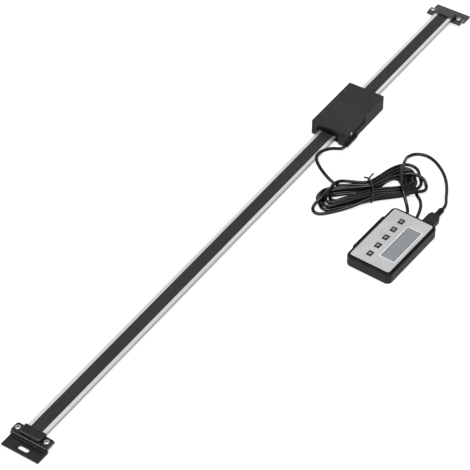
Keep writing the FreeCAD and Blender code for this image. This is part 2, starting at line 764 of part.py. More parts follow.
def build_base():
    """Base plate with tapped mounting bosses, and the screws that hold it to the housing."""
    gap = s.plate_clearance
    x1 = cavity_half - gap
    plate = box(-x1, x1, -cavity_right + gap, cavity_left - gap, s.reader_low, base_top)
    spots = [(s.mount_pitch / 2 * end, y) for end in (-1, 1) for y in (mount_left, -mount_right)]
    boss = cavity_left - guide_outside - gap * 2
    height = s.base_thickness + s.mount_boss_height
    bosses = [rod("z", boss, height, x, y, s.reader_low) for x, y in spots]
    below = s.reader_low - past
    tools = [rod("z", s.mount_core_diameter, height + past * 2, x, y, below) for x, y in spots]
    seat = s.reader_low + s.small_head_height
    screws = []
    for x, y in housing_screw_spots:
        tools.append(rod("z", small_hole, s.base_thickness + past * 2, x, y, below))
        tools.append(rod("z", small_sink, s.small_head_height + past, x, y, below))
        head = rod("z", s.small_head_diameter, s.small_head_height, x, y, s.reader_low)
        screws.append(fuse(head, rod("z", s.small_shank_diameter, s.small_screw_length, x, y, seat)))
    piece(cut(fuse(plate, *bosses), *tools), "reader_base", on_reader)
    piece(group(screws), "housing_screws", on_reader)


def build_slides():
    """Side guides, lower glide pads and end wipers that ride on the beam."""
    inside = beam_half_width + s.running_gap
    for name, y0, y1 in (("left", inside, guide_outside), ("right", -guide_outside, -inside)):
        bar = slab(-guide_half, guide_half, y0, y1, base_top, beam_top - s.beam_edge, s.small_corner)
        piece(bar, f"{name}_guide", on_reader)
    pads = []
    for end in (-1, 1):
        x0 = guide_half - s.glide_length if end > 0 else -guide_half
        pads.append(box(x0, x0 + s.glide_length, -s.glide_width / 2, s.glide_width / 2,
                        base_top, seat_top - s.running_gap))
    piece(group(pads), "lower_glides", on_reader)
    gap = s.plate_clearance
    side = beam_half_width + s.mouth_side - gap
    slit = s.wiper_slit
    lip_end = reader_half - s.wiper_setback
    lip_length = lip_end - wiper_outside
    for name, sheet_x, lip_x in (("near", -wiper_outside, -lip_end), ("far", wiper_inside, wiper_outside)):
        sheet = box(sheet_x, sheet_x + s.wiper_thickness, -side, side, base_top, roof_under - gap)
        lip = prism("YZ_Plane", mouth_outline(base_top, gap), lip_x, lip_length)
        passage = box(-lip_end - past, lip_end + past, -beam_half_width - slit, beam_half_width + slit,
                      seat_top - slit, beam_top + slit)
        piece(cut(fuse(sheet, lip), passage), f"{name}_wiper", on_reader)


def build_sensor():
    """Sensor board over the tape, its chip, its carrier and the leaf spring that presses it down."""
    wide = s.sensor_width / 2
    board = slab(-sensor_half, sensor_half, -wide, wide, board_low, board_top, s.small_corner)
    piece(board, "sensor_board", on_reader)
    chip = s.chip_size / 2
    block = slab(-chip, chip, -chip, chip, board_top, board_top + s.chip_height, s.small_corner)
    piece(block, "sensor_chip", on_reader)
    ends = (-carrier_half, carrier_half)
    top = box(*ends, -beam_half_width, beam_half_width, board_top, carrier_top)
    skirts = []
    for y0, y1 in ((wide + s.running_gap, beam_half_width), (-beam_half_width, -wide - s.running_gap)):
        skirts.append(box(*ends, y0, y1, beam_top + s.running_gap, board_top))
    window = box(-s.carrier_window / 2, s.carrier_window / 2, -beam_half_width + s.carrier_rail,
                 beam_half_width - s.carrier_rail, board_top - past, carrier_top + past)
    piece(cut(fuse(top, *skirts), window), "sensor_carrier", on_reader)
    thick = s.leaf_thickness
    end = sensor_half
    knee = end - s.leaf_foot
    crest = s.leaf_crest / 2
    upper = [(-end, carrier_top + thick), (-knee, carrier_top + thick), (-crest, roof_under),
             (crest, roof_under), (knee, carrier_top + thick), (end, carrier_top + thick)]
    lower = [(end, carrier_top), (knee, carrier_top), (crest, roof_under - thick),
             (-crest, roof_under - thick), (-knee, carrier_top), (-end, carrier_top)]
    piece(prism("XZ_Plane", upper + lower, -s.leaf_width / 2, s.leaf_width), "leaf_spring", on_reader)


# Display unit.

column_x = cavity_half_length - s.column_inset_x
column_y = cavity_half_width - s.column_inset_y
column_spots = [(column_x * end, column_y * side) for end in (-1, 1) for side in (-1, 1)]
key_pitch = (s.display_length - s.key_margin * 2) / (KEY_COUNT - 1)
key_spots = [s.key_margin - case_half_length + key_pitch * index for index in range(KEY_COUNT)]
bay_low = s.battery_x - s.battery_length / 2 - s.contact_thickness
bay_high = s.battery_x + s.battery_length / 2 + s.contact_thickness
bay_inside = s.battery_first - s.battery_diameter / 2 - s.cover_gap
battery_z = battery_low + s.battery_diameter / 2
cover_low = s.battery_x - s.cover_length / 2
cover_high = s.battery_x + s.cover_length / 2
case_screw_seat = s.case_screw_recess + s.small_head_height


def case_block(z0, z1):
    """Solid half of the display case with rounded upright corners."""
    return slab(-case_half_length, case_half_length, -case_half_width, case_half_width, z0, z1,
                s.case_corner)


def case_hollow(z0, z1):
    """Tool for the inside of a case half, an even wall away from its outside."""
    return slab(-cavity_half_length, cavity_half_length, -cavity_half_width, cavity_half_width, z0, z1,
                s.case_corner - s.case_wall)


def socket_opening(z0, z1):
    """Tool for the plug's opening in the far wall of the case."""
    half = s.shell_width / 2 + s.fit_clearance * 2
    return box(cavity_half_length - past, case_half_length + past, s.plug_y - half, s.plug_y + half, z0, z1)


def build_front_case():
    """Upper case half with the fascia's seat, key and window openings and screw posts."""
    shell = case_block(s.parting_height, display_height)
    round_off(shell, s.case_top_edge, lambda edge: is_level(edge, display_height))
    below = s.parting_height - past
    hollow = case_hollow(below, roof_low)
    posts = [rod("z", s.column_diameter, roof_low - display_board_top, x, y, display_board_top)
             for x, y in column_spots]
    seat_margin = s.fascia_margin - s.fit_clearance
    seat_x = case_half_length - seat_margin
    seat_y = case_half_width - seat_margin
    seat = slab(-seat_x, seat_x, -seat_y, seat_y, fascia_low, display_height + past, s.fascia_corner)
    glass_x = s.lcd_length / 2 + s.lcd_border + s.fit_clearance
    glass_y = s.lcd_width / 2 + s.lcd_border + s.fit_clearance
    through = (roof_low - past, fascia_low + past)
    tools = [box(-glass_x, glass_x, -s.lcd_offset - glass_y, -s.lcd_offset + glass_y, *through)]
    key_x = s.key_length / 2 + s.key_clearance
    key_y = s.key_width / 2 + s.key_clearance
    for x in key_spots:
        tools.append(box(x - key_x, x + key_x, s.key_offset - key_y, s.key_offset + key_y, *through))
    tools.append(socket_opening(below, s.plug_z + s.shell_height / 2 + s.fit_clearance * 2))
    for x, y in column_spots:
        tools.append(rod("z", small_hole, roof_low - below, x, y, below))
    piece(cut(shell, cut(hollow, *posts), seat, *tools), "display_front_case", on_display)


def build_back_case():
    """Lower case half with screw columns, battery bay walls and the battery cover's opening."""
    shell = case_block(0, s.parting_height)
    round_off(shell, s.case_foot_edge, lambda edge: is_level(edge, 0))
    hollow = case_hollow(s.case_floor, s.parting_height + past)
    gap = s.cover_gap
    doorway = box(cover_low - gap, cover_high + gap, bay_inside - gap, case_half_width + past,
                  -past, s.parting_height + past)
    bay_top = display_board_low - s.running_gap
    wall = s.bay_wall
    inner = box(bay_low - wall, bay_high + wall, bay_inside - gap - wall, bay_inside - gap, 0, bay_top)
    bay_end = s.battery_first + s.battery_pitch + s.battery_diameter / 2
    ends = [box(x0, x0 + wall, bay_inside - gap - wall, bay_end, battery_low, bay_top)
            for x0 in (bay_low - wall, bay_high)]
    columns = [rod("z", s.column_diameter, display_board_low, x, y, 0) for x, y in column_spots]
    tools = [socket_opening(s.plug_z - s.shell_height / 2 - s.fit_clearance * 2, s.parting_height + past)]
    for x, y in column_spots:
        tools.append(rod("z", small_hole, display_board_low + past * 2, x, y, -past))
        tools.append(rod("z", small_sink, case_screw_seat + past, x, y, -past))
    walled = fuse(cut(shell, hollow, doorway), inner, *ends, *columns)
    piece(cut(walled, *tools), "display_back_case", on_display)


def build_battery_cover():
    """Sliding battery cover: its upright edge closes the case side and stands out as a long grip."""
    outer = case_half_width + s.cover_ledge
    face = case_half_width + s.cover_gap
    lip = s.parting_height - s.cover_top_gap
    rise = s.cover_rise
    upright = [
        (bay_inside, 0), (outer, 0), (outer, rise), (face, rise), (face, lip), (cavity_half_width, lip),
        (cavity_half_width, s.case_floor), (bay_inside, s.case_floor),
    ]
    body = prism("YZ_Plane", upright, cover_low, s.cover_length)

    def is_outer(edge):
        at_face = near(edge.BoundBox.YMin, outer) and near(edge.BoundBox.YMax, outer)
        return at_face and not is_level(edge, 0)

    round_off(body, s.cover_edge, is_outer)
    piece(body, "battery_cover", on_display)


def build_batteries():
    """Two cells side by side and the contact plates at their ends."""
    cells = []
    plates = []
    start = s.battery_x - s.battery_length / 2
    half = s.contact_width / 2
    for index in range(CELL_COUNT):
        y = s.battery_first + s.battery_pitch * index
        cells.append(rod("x", s.battery_diameter, s.battery_length, start, y, battery_z))
        for x0 in (bay_low, bay_high - s.contact_thickness):
            plates.append(box(x0, x0 + s.contact_thickness, y - half, y + half,
                              battery_z - half, battery_z + half))
    piece(group(cells), "batteries", on_display)
    piece(group(plates), "battery_contacts", on_display)


def build_fascia():
    """Thin fascia plate with openings for the keys and the window."""
    x1 = case_half_length - s.fascia_margin
    y1 = case_half_width - s.fascia_margin
    plate = slab(-x1, x1, -y1, y1, fascia_low, display_height, s.fascia_corner)
    window_x = s.lcd_length / 2
    window_y = s.lcd_width / 2
    through = (fascia_low - past, display_height + past)
    tools = [box(-window_x, window_x, -s.lcd_offset - window_y, -s.lcd_offset + window_y, *through)]
    key_x = s.key_length / 2 + s.key_clearance
    key_y = s.key_width / 2 + s.key_clearance
    for x in key_spots:
        tools.append(box(x - key_x, x + key_x, s.key_offset - key_y, s.key_offset + key_y, *through))
    piece(cut(plate, *tools), "fascia_plate", on_display)


def build_screen():
    """Clear window, display glass and the rubber connectors down to the board."""
    x1 = s.lcd_length / 2 + s.lcd_border
    y1 = s.lcd_width / 2 + s.lcd_border
    for name, z0, z1 in (("lcd_window", lens_low, fascia_low), ("lcd_glass", lcd_low, lens_low)):
        sheet = slab(-x1, x1, -s.lcd_offset - y1, -s.lcd_offset + y1, z0, z1, s.small_corner)
        piece(sheet, name, on_display)
    strips = []
    for edge in (-s.lcd_offset - y1, -s.lcd_offset + y1 - s.zebra_width):
        strips.append(box(-s.lcd_length / 2, s.lcd_length / 2, edge, edge + s.zebra_width,
                          display_board_top, lcd_low))
    piece(group(strips), "zebra_strips", on_display)


def build_display_board():
    """Circuit board with its switch domes, socket and the screws that clamp it in the case."""
    x1 = cavity_half_length - s.board_margin
    y1 = cavity_half_width - s.board_margin
    plate = box(-x1, x1, -y1, y1, display_board_low, display_board_top)
    holes = [rod("z", small_hole, s.board_thickness + past * 2, x, y, display_board_low - past)
             for x, y in column_spots]
    piece(cut(plate, *holes), "display_board", on_display)
    domes = [rod("z", s.dome_diameter, s.dome_height, x, s.key_offset, display_board_top)
             for x in key_spots]
    piece(group(domes), "switch_domes", on_display)
    end = cavity_half_length - s.fit_clearance
    wide = s.shell_width / 2 + s.fit_clearance
    tall = s.shell_height / 2 + s.fit_clearance
    wall = s.socket_wall
    can = box(end - s.socket_length, end, s.plug_y - wide - wall, s.plug_y + wide + wall,
              s.plug_z - tall - wall, display_board_low)
    mouth = box(end - s.socket_length + wall, end + past, s.plug_y - wide, s.plug_y + wide,
                s.plug_z - tall, s.plug_z + tall)
    piece(cut(can, mouth), "socket", on_display)
    screws = []
    length = roof_low - s.running_gap - case_screw_seat
    for x, y in column_spots:
        head = rod("z", s.small_head_diameter, s.small_head_height, x, y, s.case_screw_recess)
        screws.append(fuse(head, rod("z", s.small_shank_diameter, length, x, y, case_screw_seat)))
    piece(group(screws), "case_screws", on_display)


def build_keys():
    """Row of keys, each a cap with a flange that stays under the case roof."""
    cap_x = s.key_length / 2
    cap_y = s.key_width / 2
    flange_low = display_board_top + s.dome_height + s.key_travel
    flange_top = roof_low - s.key_seat_gap
    for index, x in enumerate(key_spots, 1):
        cap = slab(x - cap_x, x + cap_x, s.key_offset - cap_y, s.key_offset + cap_y,
                   flange_low, display_height + s.key_proud, s.key_corner)
        wide_x = cap_x + s.key_flange
        wide_y = cap_y + s.key_flange
        flange = box(x - wide_x, x + wide_x, s.key_offset - wide_y, s.key_offset + wide_y,
                     flange_low, flange_top)
        piece(fuse(cap, flange), f"key_{index}", on_display)


# Plug, cable and hank.

def build_plug():
    """Moulded plug grip, its metal shell and the ringed boot behind it."""
    front = case_half_length + s.plug_gap
    rear = front + s.plug_length
    half_y = s.plug_width / 2
    half_z = s.plug_depth / 2
    waist = s.plug_waist / 2
    neck = rear - s.plug_taper
    outline = [(front, s.plug_y - half_y), (neck, s.plug_y - half_y), (rear, s.plug_y - waist),
               (rear, s.plug_y + waist), (neck, s.plug_y + half_y), (front, s.plug_y + half_y)]
    grip = prism("XY_Plane", outline, s.plug_z - half_z, s.plug_depth)
    low = s.plug_z - half_z
    high = s.plug_z + half_z
    round_off(grip, s.plug_round, lambda edge: is_level(edge, low) or is_level(edge, high))
    piece(grip, "plug_grip", on_display)
    start = cavity_half_length - s.shell_reach
    blade = slab(start, front, s.plug_y - s.shell_width / 2, s.plug_y + s.shell_width / 2,
                 s.plug_z - s.shell_height / 2, s.plug_z + s.shell_height / 2, s.small_corner)
    piece(blade, "plug_shell", on_display)
    boot = ringed_sleeve(s.boot_length, s.boot_diameter, s.boot_core, rear, s.plug_y, s.plug_z)
    piece(boot, "plug_boot", on_display)


def cord_path(points):
    """Straight runs joined by tangent arcs, each as large as its two runs allow, with the arcs' radii."""
    trims = []
    radii = []
    edges = []
    for before, corner, after in zip(points, points[1:], points[2:]):
        back = (before - corner).normalize()
        on = (after - corner).normalize()
        turn = math.pi - back.getAngle(on)
        trim = ARC_SHARE * min(before.distanceToPoint(corner), corner.distanceToPoint(after))
        radius = trim / math.tan(turn / 2)
        middle = (back + on).normalize()
        centre = corner + middle * (radius / math.cos(turn / 2))
        trims.append((corner + back * trim, centre - middle * radius, corner + on * trim))
        radii.append(radius)
    last = points[0]
    for start, middle, end in trims:
        edges.append(Part.LineSegment(last, start).toShape())
        edges.append(Part.Arc(start, middle, end).toShape())
        last = end
    edges.append(Part.LineSegment(last, points[-1]).toShape())
    return Part.Wire(edges), radii


def build_cord(name, points):
    """Round tube along a cord's route."""
    route, radii = cord_path(points)
    radius = s.cable_diameter.value / 2
    section = Part.Wire(Part.Circle(points[0], points[1] - points[0], radius).toShape())
    tube = route.makePipeShell([section], True, False)
    expected = math.pi * radius ** 2 * route.Length
    if abs(tube.Volume / expected - 1) > SAME_VOLUME:
        raise ValueError(f"{name}: tube volume {tube.Volume:.1f}, expected {expected:.1f}")
    listed = ", ".join(f"{bend:.1f}" for bend in radii)
    print(f"{name}: length {route.Length:.1f}, radii {listed}")
    item = doc.addObject("Part::Feature", "Cord")
    item.Shape = tube
    piece(item, name)


def build_cable():
    """The two free runs of the cable: gland to hank, and hank to boot."""
    mouth = Vector(s.reader_position.value - reader_half.value, gland_y.value, gland_z.value)
    lead = mouth - X_AXIS * s.cable_lead.value
    build_cord("cable_run_reader", [mouth, lead] + [Vector(*point) for point in READER_RUN])
    turn = FreeCAD.Rotation(Z_AXIS, s.display_turn.value)
    reach = case_half_length + s.plug_gap + s.plug_length + s.boot_length
    boot_end = turn.multVec(Vector(reach.value, s.plug_y.value, s.plug_z.value))
    boot_end += Vector(s.display_x.value, s.display_y.value, 0)
    boot_lead = boot_end + turn.multVec(X_AXIS) * s.cable_lead.value
    build_cord("cable_run_display", [Vector(*point) for point in DISPLAY_RUN] + [boot_lead, boot_end])


def build_hank():
    """Closed solid of the tied cable turns, and the wire tie round its waist."""
    body = prism("XY_Plane", HANK_OUTLINE, 0, s.hank_height)
    round_off(body, s.hank_corner, is_upright)
    round_off(body, s.hank_edge, lambda edge: is_level(edge, 0) or is_level(edge, s.hank_height))
    half = s.tie_width / 2 + s.tie_clearance
    lift = s.tie_thickness + s.tie_clearance
    reach = s.tie_half + past
    middle = s.tie_offset
    groove = box(middle - half, middle + half, -reach, reach, -past, lift)
    piece(cut(body, groove), "cable_hank", on_hank)
    wide = s.tie_half
    top = s.hank_height + s.tie_clearance
    thick = s.tie_thickness
    run = s.tie_width / 2
    outer = box(middle - run, middle + run, -wide - thick, wide + thick, 0, top + thick)
    inner = box(middle - run - past, middle + run + past, -wide, wide, thick, top)
    tail_z = top + thick - s.tie_wire / 2
    tails = [rod("y", s.tie_wire, s.tie_tail, x, wide, tail_z)
             for x in (middle - run / 2, middle + run / 2)]
    piece(fuse(cut(outer, inner), *tails), "hank_tie", on_hank)


def write_pieces():
    """Check every object and shape, then write one file for each piece."""
    doc.recompute()
    failed = [item.Label for item in doc.Objects if {"Invalid", "Error"} & set(item.State)]
    if failed:
        raise RuntimeError(f"failed objects: {failed}")
    for name, item in pieces.items():
        if item.Shape.isNull() or not item.Shape.isValid() or not item.Shape.Solids:
            raise RuntimeError(f"bad shape: {name}")
    os.makedirs("parts", exist_ok=True)
    for name, item in pieces.items():
        item.Shape.exportStep(f"parts/{name}.step")
    print(f"{len(pieces)} pieces written")


build_beam()
for end_side, end_name in ((-1, "near"), (1, "far")):
    build_bracket(end_side, end_name)
    build_clamp(end_side, end_name)
    build_clamp_fasteners(end_side, end_name)
build_housing()
build_cable_clamp()
build_base()
build_slides()
build_sensor()
build_front_case()
build_back_case()
build_battery_cover()
build_batteries()
build_fascia()
build_screen()
build_display_board()
build_keys()
build_plug()
build_cable()
build_hank()
write_pieces()
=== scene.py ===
"""Dresses a digital linear scale: its finishes, its tied cable and what its solids leave out."""

import logging
import math
from collections.abc import Sequence
from dataclasses import dataclass
from enum import Enum
from typing import Any

import bmesh
import bpy
from mathutils import Matrix, Vector


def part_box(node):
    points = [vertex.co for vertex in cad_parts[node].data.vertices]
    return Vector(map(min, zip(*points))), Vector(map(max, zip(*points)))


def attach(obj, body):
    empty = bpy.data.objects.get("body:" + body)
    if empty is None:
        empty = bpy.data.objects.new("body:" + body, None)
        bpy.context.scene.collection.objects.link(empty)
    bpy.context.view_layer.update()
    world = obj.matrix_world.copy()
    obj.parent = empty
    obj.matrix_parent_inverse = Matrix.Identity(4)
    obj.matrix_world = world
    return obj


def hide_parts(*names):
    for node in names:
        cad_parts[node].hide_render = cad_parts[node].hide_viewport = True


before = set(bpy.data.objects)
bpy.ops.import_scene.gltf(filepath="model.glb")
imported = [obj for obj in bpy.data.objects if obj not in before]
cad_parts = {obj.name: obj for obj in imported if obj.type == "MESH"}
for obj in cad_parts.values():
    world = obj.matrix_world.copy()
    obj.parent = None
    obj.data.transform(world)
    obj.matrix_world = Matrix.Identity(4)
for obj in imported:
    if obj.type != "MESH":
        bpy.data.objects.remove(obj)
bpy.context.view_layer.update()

log = logging.getLogger("linear_scale")

MM = 0.001
Point = tuple[float, float, float]
WHITE = "#ffffff"
# The angle that the display lies at, in degrees about the upright.
DISPLAY_TURN = -2.4

# A Mix node's colour sockets go by place, because its other kinds use the same names.
MIX_A, MIX_B, MIX_RESULT = 6, 7, 2
# Where a pattern or an angle begins to count, and where it counts in full.
PATCH_RANGE = {"From Min": 0.12, "From Max": 0.42}
ROUGH_RANGE = {"From Min": 0.1, "From Max": 0.45}
LEVEL_RANGE = {"From Min": 0.2, "From Max": 0.8}
EDGE_WEAR_HIGHLIGHT_RANGE = {"From Min": 0.985, "From Max": 0.8}
OPEN_RANGE = {"From Min": 0.35, "From Max": 0.8}
PATCH_OCTAVES = 3.0
EDGE_SAMPLES = 6
# Painted shade in corners: how many samples find them, and the near-black colour that they are painted.
CORNER_SHADE_SAMPLES = 8
CORNER_SHADE_COLOUR = "#060606"

# A cord's spline: how smooth it is, and in how many steps it is drawn along and around.
CORD_ORDER = 3
CORD_STEPS = 6
CORD_ROUND_STEPS = 4


def linear(code: str) -> tuple[float, float, float, float]:
    """Turns an sRGB hex colour into linear values.

    Args:
        code: A hash and six hex digits.

    Returns:
        Red, green and blue, with an alpha of one.
    """
    parts = [int(code[at:at + 2], 16) / 255 for at in (1, 3, 5)]
    red, green, blue = [p / 12.92 if p <= 0.04045 else ((p + 0.055) / 1.055) ** 2.4 for p in parts]
    return red, green, blue, 1.0


def add_node(tree: bpy.types.NodeTree, kind: str, inputs: dict[Any, Any],
             **settings: Any) -> bpy.types.Node:
    """Adds a node with its settings, and sets or links its inputs.

    Args:
        tree: The material's node tree.
        kind: The node's type.
        inputs: A value, or an output to link from, for each input by name or place.
        settings: The node's own properties.

    Returns:
        The new node.
    """
    node = tree.nodes.new(kind)
    for name, value in settings.items():
        setattr(node, name, value)
    for socket, value in inputs.items():
        if isinstance(value, bpy.types.NodeSocket):
            tree.links.new(value, node.inputs[socket])
        else:
            node.inputs[socket].default_value = value
    return node


class Grain(Enum):
    """How a surface was made: octaves, their roughness and the stretch of its fine relief."""

    SPARKED = (3.0, 0.65, (1.0, 1.0, 1.0))
    SPRAYED = (1.0, 0.35, (1.0, 1.0, 1.0))
    POLISHED = (2.0, 0.5, (1.0, 1.0, 1.0))
    DRAWN = (4.0, 0.6, (0.012, 1.0, 1.0))
    BRUSHED = (3.0, 0.6, (0.03, 1.0, 1.0))


@dataclass(frozen=True)
class Finish:
    """A surface with fine relief, soft patches of a second shade, edges that catch the light in part by a
    painted highlight, and where set, painted shade in corners and on upright faces.

    Attributes:
        name: The material and how its surface was made.
        colour: Its main colour, as an sRGB hex value.
        shade: The colour of its patches.
        grain: How the surface was made.
        roughness: The mean roughness.
        spread: How far the roughness goes up in the patches, and down between them.
        grain_mm: The width of the fine relief.
        relief_mm: The depth of the fine relief.
        patch_mm: The width of the soft patches.
        edge_mm: The width of the eased edge, or nought for none.
        edge_wear_and_highlight_colour: The colour that the edges are painted to, as rub wear and a painted
            highlight.
        edge_wear_and_highlight_share: How much of that colour shows.
        corner_shade_mm: How far a painted shade reaches out of corners, or nought for none.
        metallic: One for bare metal.
        sheen: The strength of the reflection that lies on a dull body.
        alpha: Less than one for a clear piece.
        glow: The strength of the white light that a lit surface gives off.
        flank_shade: The colour painted on faces that stand upright, a painted shade for how light falls on
            them, or nothing where they look the same.
        turn: The angle of the grain about the upright, in degrees.
    """

    name: str
    colour: str
    shade: str
    grain: Grain = Grain.SPARKED
    roughness: float = 0.5
    spread: float = 0.06
    grain_mm: float = 0.5
    relief_mm: float = 0.02
    patch_mm: float = 25.0
    edge_mm: float = 0.0
    edge_wear_and_highlight_colour: str = "#808080"
    edge_wear_and_highlight_share: float = 0.0
    corner_shade_mm: float = 0.0
    metallic: float = 0.0
    sheen: float = 0.5
    alpha: float = 1.0
    glow: float = 0.0
    flank_shade: str = ""
    turn: float = 0.0

    def material(self) -> bpy.types.Material:
        """Makes the material.

        Returns:
            The material, with its nodes.
        """
        made = bpy.data.materials.new(self.name)
        made.use_nodes = True
        tree = made.node_tree
        shader = tree.nodes["Principled BSDF"]
        shader.inputs["Metallic"].default_value = self.metallic
        shader.inputs["Specular IOR Level"].default_value = self.sheen
        shader.inputs["Alpha"].default_value = self.alpha
        shader.inputs["Emission Color"].default_value = linear(WHITE)
        shader.inputs["Emission Strength"].default_value = self.glow
        octaves, share, stretch = self.grain.value
        place = add_node(tree, "ShaderNodeTexCoord", {}).outputs["Object"]
        turned = add_node(tree, "ShaderNodeMapping", {
            "Vector": place, "Rotation": (0.0, 0.0, math.radians(-self.turn))}).outputs["Vector"]
        along = add_node(tree, "ShaderNodeMapping", {"Vector": turned, "Scale": stretch}).outputs["Vector"]
        fine = add_node(tree, "ShaderNodeTexNoise", {
            "Vector": along, "Scale": 1 / (self.grain_mm * MM), "Detail": octaves, "Roughness": share})
        patch = add_node(tree, "ShaderNodeTexNoise", {
            "Vector": place, "Scale": 1 / (self.patch_mm * MM), "Detail": PATCH_OCTAVES})
        blend = add_node(tree, "ShaderNodeMath", {0: fine.outputs["Fac"], 1: patch.outputs["Fac"]},
                         operation="MULTIPLY")
        patched = add_node(tree, "ShaderNodeMapRange", {"Value": blend.outputs[0], **PATCH_RANGE})
        colour = add_node(tree, "ShaderNodeMix", {
            "Factor": patched.outputs[0], MIX_A: linear(self.colour), MIX_B: linear(self.shade)},
            data_type="RGBA").outputs[MIX_RESULT]
        rough = add_node(tree, "ShaderNodeMapRange", {
            "Value": blend.outputs[0], **ROUGH_RANGE,
            "To Min": self.roughness - self.spread, "To Max": self.roughness + self.spread})
        relief = add_node(tree, "ShaderNodeBump", {
            "Height": fine.outputs["Fac"], "Distance": self.relief_mm * MM, "Strength": 1.0})
        if self.flank_shade:
            colour = self.paint_flank_shade(tree, colour)
        if self.edge_mm:
            colour = self.ease_edges(tree, relief, colour)
        if self.corner_shade_mm:
            colour = self.paint_corner_shade(tree, colour)
        tree.links.new(colour, shader.inputs["Base Color"])
        tree.links.new(rough.outputs[0], shader.inputs["Roughness"])
        tree.links.new(relief.outputs["Normal"], shader.inputs["Normal"])
        return made

    def paint_flank_shade(self, tree: bpy.types.NodeTree, colour: bpy.types.NodeSocket) -> bpy.types.NodeSocket:
        """Paints upright faces a colour of their own, a painted shade for how the light falls on them.

        Args:
            tree: The material's node tree.
            colour: The colour of the level faces.

        Returns:
            The colour of both.
        """
        face = add_node(tree, "ShaderNodeNewGeometry", {}).outputs["True Normal"]
        rise = add_node(tree, "ShaderNodeSeparateXYZ", {"Vector": face}).outputs["Z"]
        upward = add_node(tree, "ShaderNodeMath", {0: rise}, operation="ABSOLUTE").outputs[0]
        level = add_node(tree, "ShaderNodeMapRange", {"Value": upward, **LEVEL_RANGE}).outputs[0]
        return add_node(tree, "ShaderNodeMix", {
            "Factor": level, MIX_A: linear(self.flank_shade), MIX_B: colour},
            data_type="RGBA").outputs[MIX_RESULT]

    def ease_edges(self, tree: bpy.types.NodeTree, relief: bpy.types.Node,
                   colour: bpy.types.NodeSocket) -> bpy.types.NodeSocket:
        """Rounds the shading at sharp edges and paints them lighter, as rub wear and a painted highlight.

        Args:
            tree: The material's node tree.
            relief: The bump that the eased normal goes into.
            colour: The colour before the edges are painted lighter.

        Returns:
            The colour with edges painted lighter, as wear and highlight.
        """
        bevel = add_node(tree, "ShaderNodeBevel", {"Radius": self.edge_mm * MM}, samples=EDGE_SAMPLES)
        eased = bevel.outputs["Normal"]
        tree.links.new(eased, relief.inputs["Normal"])
        face = add_node(tree, "ShaderNodeNewGeometry", {}).outputs["Normal"]
        match = add_node(tree, "ShaderNodeVectorMath", {0: eased, 1: face}, operation="DOT_PRODUCT")
        edge_wear_highlight_mask = add_node(tree, "ShaderNodeMapRange", {
            "Value": match.outputs["Value"], **EDGE_WEAR_HIGHLIGHT_RANGE, "To Max": self.edge_wear_and_highlight_share})
        return add_node(tree, "ShaderNodeMix", {
            "Factor": edge_wear_highlight_mask.outputs[0], MIX_A: colour, MIX_B: linear(self.edge_wear_and_highlight_colour)},
            data_type="RGBA").outputs[MIX_RESULT]

    def paint_corner_shade(self, tree: bpy.types.NodeTree,
                       colour: bpy.types.NodeSocket) -> bpy.types.NodeSocket:
        """Paints shade into corners, darkening the colour where ambient occlusion finds the surface hemmed
        in.

        Args:
            tree: The material's node tree.
            colour: The colour before the shade is painted.

        Returns:
            The colour with painted shade in its corners.
        """
        openness = add_node(tree, "ShaderNodeAmbientOcclusion", {"Distance": self.corner_shade_mm * MM},
                            samples=CORNER_SHADE_SAMPLES).outputs["AO"]
        unshaded = add_node(tree, "ShaderNodeMapRange", {"Value": openness, **OPEN_RANGE}).outputs[0]
        return add_node(tree, "ShaderNodeMix", {
            "Factor": unshaded, MIX_A: linear(CORNER_SHADE_COLOUR), MIX_B: colour},
            data_type="RGBA").outputs[MIX_RESULT]


# Real spark marks, brush lines and frost are too fine to show in the render, so each grain here is coarser.

# Satin anodised extrusion: pale above and painted darker at its sides as shade, with die lines that streak
# the highlights.
# Its edges are painted lighter, as rub wear and a painted highlight.
BEAM_ALUMINIUM = Finish(
    "Extruded aluminium, satin anodised", "#e6e7e7", "#d2d3d4", Grain.DRAWN, roughness=0.42, spread=0.08,
    grain_mm=0.9, relief_mm=0.03, patch_mm=60.0, edge_mm=0.35, edge_wear_and_highlight_colour="#f6f6f6", edge_wear_and_highlight_share=0.5,
    metallic=1.0, flank_shade="#949596")
# Printed polyester strip: an even charcoal with a low sheen and faint lengthwise streaks.
STRIP_DARK = Finish(
    "Polyester cover strip, charcoal", "#202020", "#282828", Grain.DRAWN, roughness=0.46, spread=0.06,
    grain_mm=1.2, relief_mm=0.008, patch_mm=80.0, sheen=0.22)
# Magnetised rubber under the strip: dull and almost black.
TAPE_RUBBER = Finish(
    "Ferrite-filled rubber, calendered", "#262422", "#302d2a", roughness=0.8, relief_mm=0.03)
# Baked powder coat on bent steel: black, with orange peel, bends that shine grey by their gloss and by
# edges painted lighter as wear and highlight, and painted shade in the corners.
BRACKET_PAINT = Finish(
    "Powder-coated steel, satin black", "#0a0a0a", "#131313", Grain.SPRAYED, roughness=0.24, spread=0.06,
    grain_mm=1.1, relief_mm=0.05, patch_mm=12.0, edge_mm=0.6, edge_wear_and_highlight_colour="#7a7a7a", edge_wear_and_highlight_share=0.34,
    corner_shade_mm=5.0, sheen=0.5)
# Bright zinc on pressed screw heads: pale and slightly blue, with a fine tumbled frost.
# Painted shade darkens the cross recesses and corners; the edges are painted lighter, as wear and a painted
# highlight.
SCREW_STEEL = Finish(
    "Zinc-plated steel, bright", "#c4c6c8", "#a9acb0", Grain.POLISHED, roughness=0.34, spread=0.08,
    grain_mm=0.4, relief_mm=0.006, patch_mm=3.0, edge_mm=0.25, edge_wear_and_highlight_colour="#f2f2f2", edge_wear_and_highlight_share=0.4,
    corner_shade_mm=1.4, metallic=1.0)
